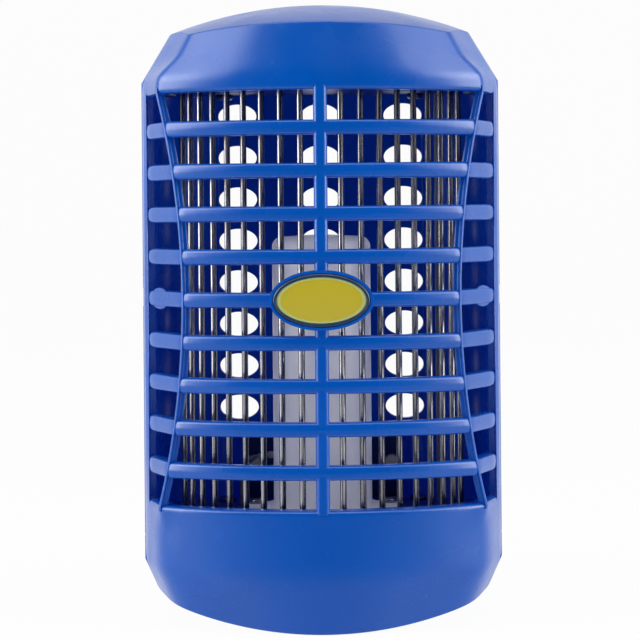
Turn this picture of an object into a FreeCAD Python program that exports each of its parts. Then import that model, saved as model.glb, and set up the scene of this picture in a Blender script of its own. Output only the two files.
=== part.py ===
import math
import os

import FreeCAD
import Part

# A plug-in electric insect zapper: a blue moulded lantern whose snap-on front cover is a curved
# grille, a back shell with vent holes and mains pins, and inside them a fan of steel rods wired
# alternately, a milky light tube and a small high-voltage board.
# Working coordinates, in millimetres: x to the right, y back from the front face, z up from the
# lowest point. save() moves everything to the row frame, whose origin is the middle of the plug face.

Vector = FreeCAD.Vector

# Housing form
HOUSING_WIDTH = 82.0
HOUSING_DEPTH = 62.0
HOUSING_HEIGHT = 139.5
WALL = 2.2
FRONT_RADIUS = 70.0  # of the front face, seen from above
CREASE_X = 36.1  # half-distance between the two creases at the caps
WAIST_X = 30.5  # the same at half height, where the sides are scooped
POST_INSET = 0.8  # of the grille's side post from the full width
POST_Y = 24.5
SIDE_Y = 30.0  # where the side wall turns straight back
REAR_CORNER_RADIUS = 16.0
SHOULDER_Z = 122.0  # where the top starts to taper
SHOULDER_TAPER = 0.6  # inset per millimetre of height
FOOT_Z = 13.0  # where the foot starts to taper
FOOT_TAPER = 0.45
FRONT_SHARE = 0.45  # how much of a side's taper the front and the back have
CROWN_RADIUS = 93.0  # of the top, seen from the front
DOME_RADIUS = 60.0  # of the top, seen from the side
KEEL_RADIUS = 105.0  # of the underside, seen from the front
PARTING_Y = 28.0  # plane between the front cover and the back shell
PARTING_GAP = 0.3

# Lip between the two shells
LIP_LENGTH = 2.4
LIP_SKIN = 1.15  # how far the lip's outside lies under the outer surface
LIP_CLEARANCE = 0.12

# Grille
WINDOW_LOW_Z = 27.3
WINDOW_HIGH_Z = 118.8
WINDOW_HALF_WIDTH = 37.9
GRILLE_DEPTH = 3.6  # of the bars, front to back
RIM_HEIGHT = 1.4  # of the thickened rim above and below the window
BAR_COUNT = 9
BAR_PITCH = 9.39
BAR_HEIGHT = 3.1
BAR_END_HEIGHT = 3.8
CENTRE_RIB_WIDTH = 3.0
SCOOP_STEPS = (-1.2, -0.6, 0.0, 0.6, 1.2)  # heights of its sections, in window half-heights
SIDE_RIB_EDGE = 0.7  # width of a side rib's front edge, which lies on the crease
SIDE_RIB_WIDTH = 2.6
SIDE_RIB_RECESS = 1.3  # of its inner part behind its front edge

# Oval badge, its ring and its pad
BADGE_WIDTH = 19.5
BADGE_HEIGHT = 10.0
BADGE_THICKNESS = 0.9
BEZEL_WIDTH = 0.75
BEZEL_THICKNESS = 1.2
BADGE_CLEARANCE = 0.1
PAD_RIM = 0.7
PAD_RISE = 1.5  # in front of the bars
PAD_FLOOR = 1.6  # plastic behind the badge

# Snap tabs of the cover
TAB_HEIGHT = 6.0
TAB_THICKNESS = 1.4
TAB_REACH = 6.0  # behind the parting plane
TAB_ROOT = 4.6  # in front of it
TAB_GAP = 0.35
CATCH_HEIGHT = 3.6
CATCH_LENGTH = 2.6
CATCH_CLEARANCE = 0.35
CATCH_SKIN = 0.7  # how far the catch stays under the outer surface
LUG_RADIUS = 2.6
LUG_X = 36.3

# Killing grid
GRID_Y = 42.0  # centre of the fan of rods
GRID_RADIUS = 34.2
ROD_RADIUS = 0.7
ROD_STEP_DEG = 7.5
ROD_PAIRS = 9  # on each side of the middle rod
ROD_CLEARANCE = 0.05
ROD_END_DEPTH = 1.4  # of a rod's blind end in its plate
BUSBAR_WIDTH = 4.4
BUSBAR_THICKNESS = 0.8
BUSBAR_MARGIN_DEG = 3.5

# Plates that carry the grid
PLATE_THICKNESS = 2.4
PLATE_GAP = 0.4
FLOOR_TOP_Z = 22.6
HEAD_LOW_Z = 120.6
LEDGE_X = 23.0
LEDGE_WIDTH = 8.0
LEDGE_DEPTH = 7.0
LEDGE_HEIGHT = 7.0
SIDE_LEDGE_Y = 39.0
SIDE_LEDGE_DEPTH = 5.6

# Light tube
TUBE_Y = 40.0
TUBE_RADIUS = 11.5
TUBE_WALL = 1.2
TUBE_TOP_Z = 87.0
TUBE_EDGE_RADIUS = 2.4
TUBE_CROWN = 0.6
TUBE_FLANGE_RADIUS = 13.0
TUBE_FLANGE_THICKNESS = 1.5
TUBE_EAR_REACH = 18.0
TUBE_EAR_WIDTH = 6.4
TUBE_SCREW_X = 15.4

# Light board
LED_BOARD_WIDTH = 11.0
LED_BOARD_THICKNESS = 1.2
LED_BOARD_TOP_Z = 80.0
LED_COUNT = 4
LED_RADIUS = 2.5
LED_HEIGHT = 5.2
LED_PITCH = 13.0
LED_LOW_Z = 34.0
SLOT_CLEARANCE = 0.4

# Circuit board in the base, and what stands on it
BOARD_HALF_WIDTH = 27.0
BOARD_FRONT_Y = 31.0
BOARD_BACK_Y = 55.5
BOARD_LOW_Z = 8.0
BOARD_THICKNESS = 1.6
BOARD_POST_RADIUS = 2.6
BOARD_POST_MARGIN = 4.0
SOCKET_HEIGHT = 6.0
SOCKET_MARGIN = 1.6
SOCKET_CLEARANCE = 0.1
FILM_SIZE = (9.5, 4.5, 7.0)
FILM_EDGE = 0.6
FILM_COUNT = 3
FILM_PITCH = 6.2
FILM_X = 15.2
DIODE_RADIUS = 1.3
DIODE_LENGTH = 4.6
DIODE_COUNT = 4
DIODE_PITCH = 4.2
DIODE_X = -12.2
RESISTOR_RADIUS = 1.1
RESISTOR_LENGTH = 5.5
RESISTOR_COUNT = 3
RESISTOR_X = -20.6
LEG_RADIUS = 0.35
LEG_RISE = 0.6
CAN_RADIUS = 3.0
CAN_HEIGHT = 7.5
CAN_EDGE = 0.5
CAN_X = 0.0
CAN_Y = 48.5
FUSE_RADIUS = 2.2
FUSE_LENGTH = 8.0
FUSE_X = 0.0
FUSE_Y = 34.5

# Mains plug
PLUG_STAND = 8.0  # from the rear wall to the plug face
PLUG_Z = 32.0  # of the pins above the lowest point
PLUG_HALF_WIDTH = 14.5
PLUG_HALF_HEIGHT = 7.5
PLUG_CORNER_RADIUS = 4.0
PLUG_CLEARANCE = 0.1
PLUG_PAD_THICKNESS = 3.0
FLANGE_MARGIN = 4.5
FLANGE_THICKNESS = 2.0
PLUG_SCREW_X = 16.7
PIN_SPACING = 19.0
PIN_RADIUS = 2.0
PIN_LENGTH = 19.0
PIN_TIP_RADIUS = 1.2
SLEEVE_LENGTH = 10.0  # that shows
SLEEVE_SEAT = 1.6  # depth of its end in the block
SLEEVE_RADIUS = 1.8
PIN_CORE_RADIUS = 1.4
PIN_TAIL = 1.2
PIN_TAIL_RADIUS = 0.9

# Vents in the rear wall
VENT_WIDTH = 9.3
VENT_HEIGHT = 5.9
VENT_X = 20.1
VENT_PITCH = 10.09
VENT_TOP_Z = 115.6
VENT_ROWS = 8

# Fasteners and leads
SCREW_RADIUS = 1.1
SCREW_HEAD_RADIUS = 2.0
SCREW_HEAD_HEIGHT = 1.2
SCREW_LENGTH = 6.0
SCREW_HOLE_CLEARANCE = 0.15
PILOT_CLEARANCE = 0.05
LEAD_RADIUS = 0.6
LEAD_HOLE_CLEARANCE = 0.3
LEAD_ARC_SHARE = 0.45
LEAD_ARC_LIMIT = 2.4  # of the length that one bend takes from a run
LEAD_MARGIN = 1.0  # from the board's side edge
LAMP_LEAD_RADIUS = 0.45
LAMP_LEAD_Z = 35.4
LAMP_LEAD_RISE_Z = 31.5
LAMP_LEAD_TAIL = 2.0
FERRULE_RADIUS = 0.8
FERRULE_LENGTH = 1.2
LAMP_DROP = (-19.5, 50.0)  # where the lamp lead passes the floor plate, in x and y
RETURN_DROP = (28.0, 54.3)
MAINS_DROP_GAP = 3.2  # from the plug's flange to the leads that drop from its pins
LIVE_LEAD_SETBACK = 9.0  # from the board's front edge
RETURN_LEAD_RISE = 3.4  # over the upper plate

REACH = 200.0  # longer than any cut
MIDDLE_Y = HOUSING_DEPTH / 2
HALF_WIDTH = HOUSING_WIDTH / 2
WINDOW_MIDDLE_Z = (WINDOW_LOW_Z + WINDOW_HIGH_Z) / 2
REAR_INNER_Y = HOUSING_DEPTH - WALL
FLOOR_LOW_Z = FLOOR_TOP_Z - PLATE_THICKNESS
HEAD_TOP_Z = HEAD_LOW_Z + PLATE_THICKNESS
BOARD_TOP_Z = BOARD_LOW_Z + BOARD_THICKNESS
PLUG_FACE_Y = HOUSING_DEPTH + PLUG_STAND
FLANGE_Y = REAR_INNER_Y - PLUG_PAD_THICKNESS - FLANGE_THICKNESS
PIN_X = PIN_SPACING / 2
MAINS_DROP_Y = FLANGE_Y - MAINS_DROP_GAP


def front_face_y(x):
    """Depth of the front face's arc at x."""
    return FRONT_RADIUS - math.sqrt(FRONT_RADIUS**2 - x**2)


def box(low, high):
    """Box between two corners."""
    size = [b - a for a, b in zip(low, high)]
    return Part.makeBox(*size, Vector(*low))


def upright(x, y, low_z, high_z, radius):
    """Upright cylinder."""
    return Part.makeCylinder(radius, high_z - low_z, Vector(x, y, low_z))


def along_y(x, z, low_y, high_y, radius):
    """Cylinder that runs back."""
    return Part.makeCylinder(radius, high_y - low_y, Vector(x, low_y, z), Vector(0, 1, 0))


def along_x(y, z, low_x, high_x, radius):
    """Cylinder that runs to the right."""
    return Part.makeCylinder(radius, high_x - low_x, Vector(low_x, y, z), Vector(1, 0, 0))


def push(wire, depth):
    """Solid swept back along y from a closed wire that lies in an x-z plane."""
    return Part.Face(wire).extrude(Vector(0, depth, 0))


def mirrored(shape):
    """The same shape on the other side of the middle plane."""
    return shape.mirror(Vector(0, 0, 0), Vector(1, 0, 0))


def both(shape):
    """A shape and its mirror image."""
    return [shape, mirrored(shape)]


def oval(x, y, z, width, height):
    """Upright ellipse facing front."""
    centre = Vector(x, y, z)
    curve = Part.Ellipse(centre + Vector(width / 2, 0, 0), centre + Vector(0, 0, height / 2), centre)
    return Part.Wire([curve.toShape()])


def rounded_block(half_x, half_z, radius, low_y, high_y, z):
    """Block with its four long edges rounded, running back."""
    block = box((-half_x, low_y, z - half_z), (half_x, high_y, z + half_z))
    long_edges = [e for e in block.Edges if abs(e.tangentAt(e.FirstParameter).y) > 0.9]
    return block.makeFillet(radius, long_edges)


def plan_wire(z, inset, skin):
    """Outline of the housing seen from above, drawn in by an inset and then offset by a skin."""
    scale_x = (HALF_WIDTH - inset) / HALF_WIDTH
    scale_y = (HOUSING_DEPTH - 2 * inset * FRONT_SHARE) / HOUSING_DEPTH

    def at(x, y):
        return Vector(x * scale_x, MIDDLE_Y + (y - MIDDLE_Y) * scale_y, z)

    def flip(points):
        return [Vector(-p.x, p.y, p.z) for p in reversed(points)]

    corner_turn = REAR_CORNER_RADIUS * (1 - math.sqrt(0.5))
    crease_y = front_face_y(CREASE_X)
    front = [at(-CREASE_X, crease_y), at(0, 0), at(CREASE_X, crease_y)]
    right = [
        front[2],
        at(HALF_WIDTH - POST_INSET, POST_Y),
        at(HALF_WIDTH, SIDE_Y),
        at(HALF_WIDTH, HOUSING_DEPTH - REAR_CORNER_RADIUS),
    ]
    corner = [
        right[3],
        at(HALF_WIDTH - corner_turn, HOUSING_DEPTH - corner_turn),
        at(HALF_WIDTH - REAR_CORNER_RADIUS, HOUSING_DEPTH),
    ]
    left, left_corner = flip(right), flip(corner)
    edges = [Part.Arc(*front).toShape()]
    edges += [Part.makeLine(a, b) for a, b in zip(right, right[1:])]
    edges += [Part.Arc(*corner).toShape(), Part.makeLine(corner[2], left_corner[0])]
    edges += [Part.Arc(*left_corner).toShape()]
    edges += [Part.makeLine(a, b) for a, b in zip(left, left[1:])]
    wire = Part.Wire(edges)
    return wire.makeOffset2D(-skin) if skin else wire


def above_crown(skin):
    """What lies above the domed top: an arc seen from the front, revolved about a level axis so
    that it is also an arc seen from the side."""
    half = HALF_WIDTH + WALL
    radius = CROWN_RADIUS - skin
    top_z = HOUSING_HEIGHT - skin
    axis_z = HOUSING_HEIGHT - DOME_RADIUS
    end_z = top_z - radius + math.sqrt(radius**2 - half**2)
    ends = [Vector(-half, MIDDLE_Y, end_z), Vector(half, MIDDLE_Y, end_z)]
    feet = [Vector(half, MIDDLE_Y, axis_z), Vector(-half, MIDDLE_Y, axis_z)]
    arc = Part.Arc(ends[0], Vector(0, MIDDLE_Y, top_z), ends[1]).toShape()
    sides = [Part.makeLine(ends[1], feet[0]), Part.makeLine(*feet), Part.makeLine(feet[1], ends[0])]
    barrel = Part.Face(Part.Wire([arc] + sides)).revolve(feet[1], Vector(1, 0, 0), 360)
    low_z = SHOULDER_Z - 2 * WALL
    waste = box((-half, -WALL, low_z), (half, HOUSING_DEPTH + WALL, HOUSING_HEIGHT + 2 * WALL))
    return waste.cut(barrel)


def below_keel(skin):
    """What lies below the arched underside."""
    half = HALF_WIDTH + WALL
    radius = KEEL_RADIUS - skin
    end_z = skin + radius - math.sqrt(radius**2 - half**2)
    ends = [Vector(-half, -WALL, end_z), Vector(half, -WALL, end_z)]
    feet = [Vector(half, -WALL, -WALL), Vector(-half, -WALL, -WALL)]
    arc = Part.Arc(ends[0], Vector(0, -WALL, skin), ends[1]).toShape()
    sides = [Part.makeLine(ends[1], feet[0]), Part.makeLine(*feet), Part.makeLine(feet[1], ends[0])]
    return push(Part.Wire([arc] + sides), HOUSING_DEPTH + 2 * WALL)


def crease_at(z):
    """Half-distance between the two side creases at a height in the window."""
    step = (z - WINDOW_MIDDLE_Z) / (WINDOW_HIGH_Z - WINDOW_MIDDLE_Z)
    return WAIST_X + (CREASE_X - WAIST_X) * step**2


def side_scoop(skin):
    """What is cut off the right front corner so that the crease bows in to a waist."""
    sections = []
    half_height = WINDOW_HIGH_Z - WINDOW_MIDDLE_Z
    overrun = 3 * WALL
    for step in SCOOP_STEPS:
        z = WINDOW_MIDDLE_Z + step * half_height
        crease_x = crease_at(z)
        crease = Vector(crease_x, front_face_y(crease_x), z)
        post = Vector(HALF_WIDTH - POST_INSET, POST_Y, z)
        along = (post - crease).normalize()
        inward = Vector(-along.y, along.x, 0)
        start = crease + inward * skin - along * overrun
        end = post + inward * skin + along * overrun
        out = (start + end) / 2 - inward * 2 * overrun
        sections.append(Part.makePolygon([start, end, out, start]))
    return Part.makeLoft(sections, True, False)


def housing_form(skin):
    """The whole closed housing as one solid, drawn in by a skin on every side."""
    top_z = HOUSING_HEIGHT + WALL
    wires = [
        plan_wire(0, FOOT_TAPER * FOOT_Z, skin),
        plan_wire(FOOT_Z, 0, skin),
        plan_wire(SHOULDER_Z, 0, skin),
        plan_wire(top_z, SHOULDER_TAPER * (top_z - SHOULDER_Z), skin),
    ]
    form = Part.makeLoft(wires, True, True)
    form = form.cut(above_crown(skin)).cut(below_keel(skin))
    scoop = side_scoop(skin)
    return form.cut(scoop).cut(mirrored(scoop))


def in_depth(shape, low_y, high_y):
    """The part of a shape between two depths."""
    half = HOUSING_WIDTH
    return shape.common(box((-half, low_y, -half), (half, high_y, HOUSING_HEIGHT + half)))


def in_height(shape, low_z, high_z):
    """The part of a shape between two heights."""
    half = HOUSING_WIDTH
    return shape.common(box((-half, -half, low_z), (half, 2 * half, high_z)))


def outline(points_up, points_down):
    """Closed front-view wire between an upper and a lower edge, each an arc through three points."""
    upper = Part.Arc(*points_up).toShape()
    lower = Part.Arc(*points_down).toShape()
    right = Part.makeLine(points_up[2], points_down[2])
    left = Part.makeLine(points_down[0], points_up[0])
    return Part.Wire([upper, right, lower, left])


def edge_points(middle_z, end_z):
    """Three points of a window edge, from left to right."""
    half, front = WINDOW_HALF_WIDTH, -2 * WALL
    return [Vector(-half, front, end_z), Vector(0, front, middle_z), Vector(half, front, end_z)]


def window_rows():
    """The openings between the rims and the bars, as prisms that run back from the front."""
    sag = (BAR_END_HEIGHT - BAR_HEIGHT) / 2
    middles, ends = [WINDOW_HIGH_Z], [WINDOW_HIGH_Z - sag]
    for step in range(BAR_COUNT):
        z = WINDOW_MIDDLE_Z + ((BAR_COUNT - 1) / 2 - step) * BAR_PITCH
        middles += [z + BAR_HEIGHT / 2, z - BAR_HEIGHT / 2]
        ends += [z + BAR_END_HEIGHT / 2, z - BAR_END_HEIGHT / 2]
    middles.append(WINDOW_LOW_Z)
    ends.append(WINDOW_LOW_Z + sag)
    edges = [edge_points(m, e) for m, e in zip(middles, ends)]
    rows = [outline(edges[i], edges[i + 1]) for i in range(0, len(edges), 2)]
    return Part.makeCompound([push(wire, PARTING_Y) for wire in rows])


def crease_strip(inner, outer):
    """Front-view strip that follows the right crease, from one distance inside it to another."""
    sides = []
    for shift in (inner, outer):
        heights = (WINDOW_LOW_Z - WALL, WINDOW_MIDDLE_Z, WINDOW_HIGH_Z + WALL)
        points = [Vector(crease_at(z) - shift, -2 * WALL, z) for z in heights]
        sides.append(points)
    left, right = sides
    edges = [Part.Arc(*left).toShape(), Part.makeLine(left[2], right[2])]
    edges += [Part.Arc(*right).toShape(), Part.makeLine(right[0], left[0])]
    return push(Part.Wire(edges), PARTING_Y)


def grille_cut(forms):
    """What is cut out of the front wall: open cells, and the recessed inner part of each side rib."""
    rows = window_rows()
    web = crease_strip(SIDE_RIB_WIDTH, -SIDE_RIB_EDGE / 2)
    sunk = crease_strip(SIDE_RIB_WIDTH, SIDE_RIB_EDGE / 2)
    half = CENTRE_RIB_WIDTH / 2
    middle = box((-half, -2 * WALL, 0), (half, PARTING_Y, HOUSING_HEIGHT))
    cells = rows.cut(Part.makeCompound(both(web) + [middle]))
    recess = rows.common(Part.makeCompound(both(sunk))).cut(forms[SIDE_RIB_RECESS])
    return Part.makeCompound([cells, recess])


def tab(z):
    """Right snap tab of the cover, inside the side wall, with the catch on its outer face."""
    outer_x = HALF_WIDTH - WALL - TAB_GAP
    low = (outer_x - TAB_THICKNESS, PARTING_Y - TAB_ROOT, z - TAB_HEIGHT / 2)
    blade = box(low, (outer_x, PARTING_Y + TAB_REACH, z + TAB_HEIGHT / 2))
    catch_y = PARTING_Y + PARTING_GAP
    catch_low = (outer_x, catch_y, z - CATCH_HEIGHT / 2)
    catch_high = (HALF_WIDTH - CATCH_SKIN, catch_y + CATCH_LENGTH, z + CATCH_HEIGHT / 2)
    catch = box(catch_low, catch_high)
    ends = [e for e in catch.Edges if e.BoundBox.XMin > outer_x and e.BoundBox.YMin > catch_y]
    return blade.fuse(catch.makeChamfer(CATCH_SKIN, ends[:1]))


def catch_notch(z):
    """Cut for the right snap tab: a gap in the lip, and a notch in the side wall for the catch."""
    far_x, low_y = HALF_WIDTH + WALL, PARTING_Y - LIP_LENGTH
    low_x = HALF_WIDTH - WALL - TAB_GAP
    half = CATCH_HEIGHT / 2 + CATCH_CLEARANCE
    end_y = PARTING_Y + PARTING_GAP + CATCH_LENGTH + CATCH_CLEARANCE
    notch = box((low_x, low_y, z - half), (far_x, end_y, z + half))
    half = TAB_HEIGHT / 2 + CATCH_CLEARANCE
    return notch.fuse(box((low_x - TAB_THICKNESS, low_y, z - half), (far_x, PARTING_Y, z + half)))


def badge_pad():
    """Oval pad on the middle bar, with the recess for the badge and its ring."""
    width = BADGE_WIDTH + 2 * BEZEL_WIDTH + 2 * BADGE_CLEARANCE
    height = BADGE_HEIGHT + 2 * BEZEL_WIDTH + 2 * BADGE_CLEARANCE
    rim = 2 * PAD_RIM
    depth = BEZEL_THICKNESS + PAD_FLOOR
    pad = push(oval(0, -PAD_RISE, WINDOW_MIDDLE_Z, width + rim, height + rim), depth)
    return pad, push(oval(0, -PAD_RISE, WINDOW_MIDDLE_Z, width, height), BEZEL_THICKNESS)


def front_cover(forms):
    """Moulded front cover: wall, grille, badge pad, snap tabs and lugs, with a rabbet for the lip."""
    rear_y = PARTING_Y - PARTING_GAP
    wall = in_depth(forms[0].cut(forms[WALL]), -WALL, rear_y)
    window = box(
        (-WINDOW_HALF_WIDTH, 0, WINDOW_LOW_Z - RIM_HEIGHT),
        (WINDOW_HALF_WIDTH, rear_y, WINDOW_HIGH_Z + RIM_HEIGHT),
    )
    band = forms[0].cut(forms[GRILLE_DEPTH]).common(window)
    cover = wall.fuse(in_depth(band, -WALL, POST_Y)).cut(grille_cut(forms))
    lugs = [
        along_y(side * LUG_X, WINDOW_MIDDLE_Z, -WALL, PARTING_Y, LUG_RADIUS).common(
            in_depth(forms[0].cut(forms[GRILLE_DEPTH]), 0, POST_Y)
        )
        for side in (-1, 1)
    ]
    pad, recess = badge_pad()
    cover = cover.fuse(lugs + [pad]).cut(recess)
    cover = cover.cut(in_depth(forms[LIP_SKIN], PARTING_Y - LIP_LENGTH, PARTING_Y))
    return cover.fuse(both(tab(WINDOW_MIDDLE_Z)))


def badge_bezel():
    """Dark ring that frames the badge."""
    width, height = BADGE_WIDTH + 2 * BEZEL_WIDTH, BADGE_HEIGHT + 2 * BEZEL_WIDTH
    hole = 2 * BADGE_CLEARANCE
    ring = push(oval(0, -PAD_RISE, WINDOW_MIDDLE_Z, width, height), BEZEL_THICKNESS)
    bore = oval(0, -PAD_RISE, WINDOW_MIDDLE_Z, BADGE_WIDTH + hole, BADGE_HEIGHT + hole)
    return ring.cut(push(bore, BEZEL_THICKNESS))


def badge_plate():
    """Plain oval plate in the ring."""
    front_y = BEZEL_THICKNESS - BADGE_THICKNESS - PAD_RISE
    return push(oval(0, front_y, WINDOW_MIDDLE_Z, BADGE_WIDTH, BADGE_HEIGHT), BADGE_THICKNESS)


def ledge_blocks(low_z, high_z):
    """Rear and side ledges of the back shell that carry one grid plate."""
    back = box(
        (LEDGE_X - LEDGE_WIDTH / 2, REAR_INNER_Y - LEDGE_DEPTH, low_z),
        (LEDGE_X + LEDGE_WIDTH / 2, HOUSING_DEPTH, high_z),
    )
    side = box(
        (HALF_WIDTH - WALL - SIDE_LEDGE_DEPTH, SIDE_LEDGE_Y - LEDGE_WIDTH / 2, low_z),
        (HALF_WIDTH, SIDE_LEDGE_Y + LEDGE_WIDTH / 2, high_z),
    )
    return both(back) + both(side)


def ledge_screw_places():
    """Where the grid plates are screwed to the ledges."""
    back_y = REAR_INNER_Y - LEDGE_DEPTH / 2 - PLATE_GAP
    side_x = HALF_WIDTH - WALL - SIDE_LEDGE_DEPTH / 2 - PLATE_GAP
    right = [(LEDGE_X, back_y), (side_x, SIDE_LEDGE_Y)]
    return right + [(-x, y) for x, y in right]


def board_post_places():
    """Where the circuit board stands on the shell's posts."""
    x = BOARD_HALF_WIDTH - BOARD_POST_MARGIN
    rows = (BOARD_FRONT_Y + BOARD_POST_MARGIN, BOARD_BACK_Y - BOARD_POST_MARGIN)
    return [(side * x, y) for side in (-1, 1) for y in rows]


def vents():
    """Oval holes through the rear wall, in three columns."""
    holes = []
    for column in (-1, 0, 1):
        for row in range(VENT_ROWS):
            z = VENT_TOP_Z - row * VENT_PITCH
            hole = oval(column * VENT_X, REAR_INNER_Y - WALL, z, VENT_WIDTH, VENT_HEIGHT)
            holes.append(push(hole, 3 * WALL))
    return Part.makeCompound(holes)


def back_shell(forms):
    """Moulded back shell: wall, lip, ledges, board posts and the pad that holds the plug block."""
    front_y = PARTING_Y
    shell = in_depth(forms[0].cut(forms[WALL]), front_y, HOUSING_DEPTH + WALL)
    lip = forms[LIP_SKIN + LIP_CLEARANCE].cut(forms[WALL])
    lip = in_depth(lip, PARTING_Y - LIP_LENGTH + PARTING_GAP, PARTING_Y + WALL)
    inside = [*ledge_blocks(FLOOR_LOW_Z - LEDGE_HEIGHT, FLOOR_LOW_Z)]
    inside += ledge_blocks(HEAD_TOP_Z, HEAD_TOP_Z + LEDGE_HEIGHT)
    inside += [upright(x, y, 0, BOARD_LOW_Z, BOARD_POST_RADIUS) for x, y in board_post_places()]
    pad_x = PLUG_HALF_WIDTH + FLANGE_MARGIN
    pad_z = PLUG_HALF_HEIGHT + WALL / 2
    pad_y = REAR_INNER_Y - PLUG_PAD_THICKNESS
    inside.append(box((-pad_x, pad_y, PLUG_Z - pad_z), (pad_x, HOUSING_DEPTH, PLUG_Z + pad_z)))
    within = Part.makeCompound(inside).common(forms[0])
    shell = shell.fuse([lip] + within.Solids)
    notch = catch_notch(WINDOW_MIDDLE_Z)
    cuts = both(notch) + [vents(), plug_opening()] + pilot_holes()
    return shell.cut(cuts).removeSplitter()


def plug_opening():
    """Opening of the rear wall round the plug block."""
    half_x, half_z = PLUG_HALF_WIDTH + PLUG_CLEARANCE, PLUG_HALF_HEIGHT + PLUG_CLEARANCE
    radius = PLUG_CORNER_RADIUS + PLUG_CLEARANCE
    low_y = REAR_INNER_Y - PLUG_PAD_THICKNESS - WALL
    return rounded_block(half_x, half_z, radius, low_y, HOUSING_DEPTH + WALL, PLUG_Z)


def pilot_holes():
    """Holes that the screws bite into."""
    radius = SCREW_RADIUS + PILOT_CLEARANCE
    depth = SCREW_LENGTH + PILOT_CLEARANCE
    holes = []
    for x, y in ledge_screw_places():
        holes.append(upright(x, y, FLOOR_TOP_Z - depth, FLOOR_LOW_Z, radius))
        holes.append(upright(x, y, HEAD_TOP_Z, HEAD_LOW_Z + depth, radius))
    for x, y in board_post_places():
        holes.append(upright(x, y, BOARD_TOP_Z - depth, BOARD_LOW_Z, radius))
    for side in (-1, 1):
        holes.append(along_y(side * PLUG_SCREW_X, PLUG_Z, FLANGE_Y, FLANGE_Y + depth, radius))
    return holes


def screw(x, y, z, direction):
    """Pan-head screw whose head rests at a point and whose shank runs in a direction."""
    seat = Vector(x, y, z)
    head = Part.makeCylinder(SCREW_HEAD_RADIUS, SCREW_HEAD_HEIGHT, seat, -direction)
    rim = [e for e in head.Edges if (e.CenterOfMass - seat).dot(-direction) > 0.9 * SCREW_HEAD_HEIGHT]
    head = head.makeFillet(SCREW_HEAD_HEIGHT / 2, rim)
    return head.fuse(Part.makeCylinder(SCREW_RADIUS, SCREW_LENGTH, seat, direction))


def plate_blank(forms, low_z, high_z):
    """Blank of a grid plate: the inside of the housing between two heights."""
    return in_height(forms[WALL + PLATE_GAP], low_z, high_z)


def rod_places():
    """Centres of the rods: number, x and y."""
    places = []
    for number in range(-ROD_PAIRS, ROD_PAIRS + 1):
        turn = math.radians(number * ROD_STEP_DEG)
        places.append((number, GRID_RADIUS * math.sin(turn), GRID_Y - GRID_RADIUS * math.cos(turn)))
    return places


def is_live(number):
    """Every second rod is on the live side."""
    return number % 2 == 0


def rods(live):
    """Rods of one side of the circuit. Live ones come out below, the others above."""
    out = BUSBAR_THICKNESS
    low_z = FLOOR_LOW_Z - out if live else FLOOR_TOP_Z - ROD_END_DEPTH
    high_z = HEAD_LOW_Z + ROD_END_DEPTH if live else HEAD_TOP_Z + out
    return [upright(x, y, low_z, high_z, ROD_RADIUS) for n, x, y in rod_places() if is_live(n) == live]


def rod_holes(low_z, high_z, live):
    """Holes for the rods of one side of the circuit."""
    radius = ROD_RADIUS + ROD_CLEARANCE
    return [upright(x, y, low_z, high_z, radius) for n, x, y in rod_places() if is_live(n) == live]


def busbar(low_z, live):
    """Strip bent round the fan that joins the rods of one side of the circuit."""
    angle = ROD_PAIRS * ROD_STEP_DEG + BUSBAR_MARGIN_DEG
    inner, outer = GRID_RADIUS - BUSBAR_WIDTH / 2, GRID_RADIUS + BUSBAR_WIDTH / 2

    def at(radius, degrees):
        turn = math.radians(degrees)
        return Vector(radius * math.sin(turn), GRID_Y - radius * math.cos(turn), low_z)

    far = Part.Arc(at(outer, -angle), at(outer, 0), at(outer, angle)).toShape()
    near = Part.Arc(at(inner, -angle), at(inner, 0), at(inner, angle)).toShape()
    ends = [Part.makeLine(at(outer, side * angle), at(inner, side * angle)) for side in (1, -1)]
    strip = Part.Face(Part.Wire([far, ends[0], near, ends[1]])).extrude(Vector(0, 0, BUSBAR_THICKNESS))
    return strip.cut(rod_holes(low_z, low_z + BUSBAR_THICKNESS, live))


def screw_holes(low_z, high_z):
    """Clearance holes of one grid plate."""
    radius = SCREW_RADIUS + SCREW_HOLE_CLEARANCE
    return [upright(x, y, low_z, high_z, radius) for x, y in ledge_screw_places()]


def lower_grid_plate(forms):
    """Floor of the killing chamber, which holds the rods' lower ends."""
    plate = plate_blank(forms, FLOOR_LOW_Z, FLOOR_TOP_Z)
    blind_z = FLOOR_TOP_Z - ROD_END_DEPTH
    holes = rod_holes(FLOOR_LOW_Z, FLOOR_TOP_Z, True) + rod_holes(blind_z, FLOOR_TOP_Z, False)
    holes += screw_holes(FLOOR_LOW_Z, FLOOR_TOP_Z)
    slot_x = LED_BOARD_WIDTH / 2 + SLOT_CLEARANCE
    slot_y = LED_BOARD_THICKNESS / 2 + SLOT_CLEARANCE
    low = (-slot_x, TUBE_Y - slot_y, FLOOR_LOW_Z)
    holes.append(box(low, (slot_x, TUBE_Y + slot_y, FLOOR_TOP_Z)))
    lead_hole = LEAD_RADIUS + LEAD_HOLE_CLEARANCE
    for x, y in [(-PIN_X, MAINS_DROP_Y), (PIN_X, MAINS_DROP_Y), RETURN_DROP, LAMP_DROP]:
        holes.append(upright(x, y, FLOOR_LOW_Z, FLOOR_TOP_Z, lead_hole))
    radius = SCREW_RADIUS + PILOT_CLEARANCE
    holes += [upright(side * TUBE_SCREW_X, TUBE_Y, FLOOR_LOW_Z, FLOOR_TOP_Z, radius) for side in (-1, 1)]
    return plate.cut(holes)


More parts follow.
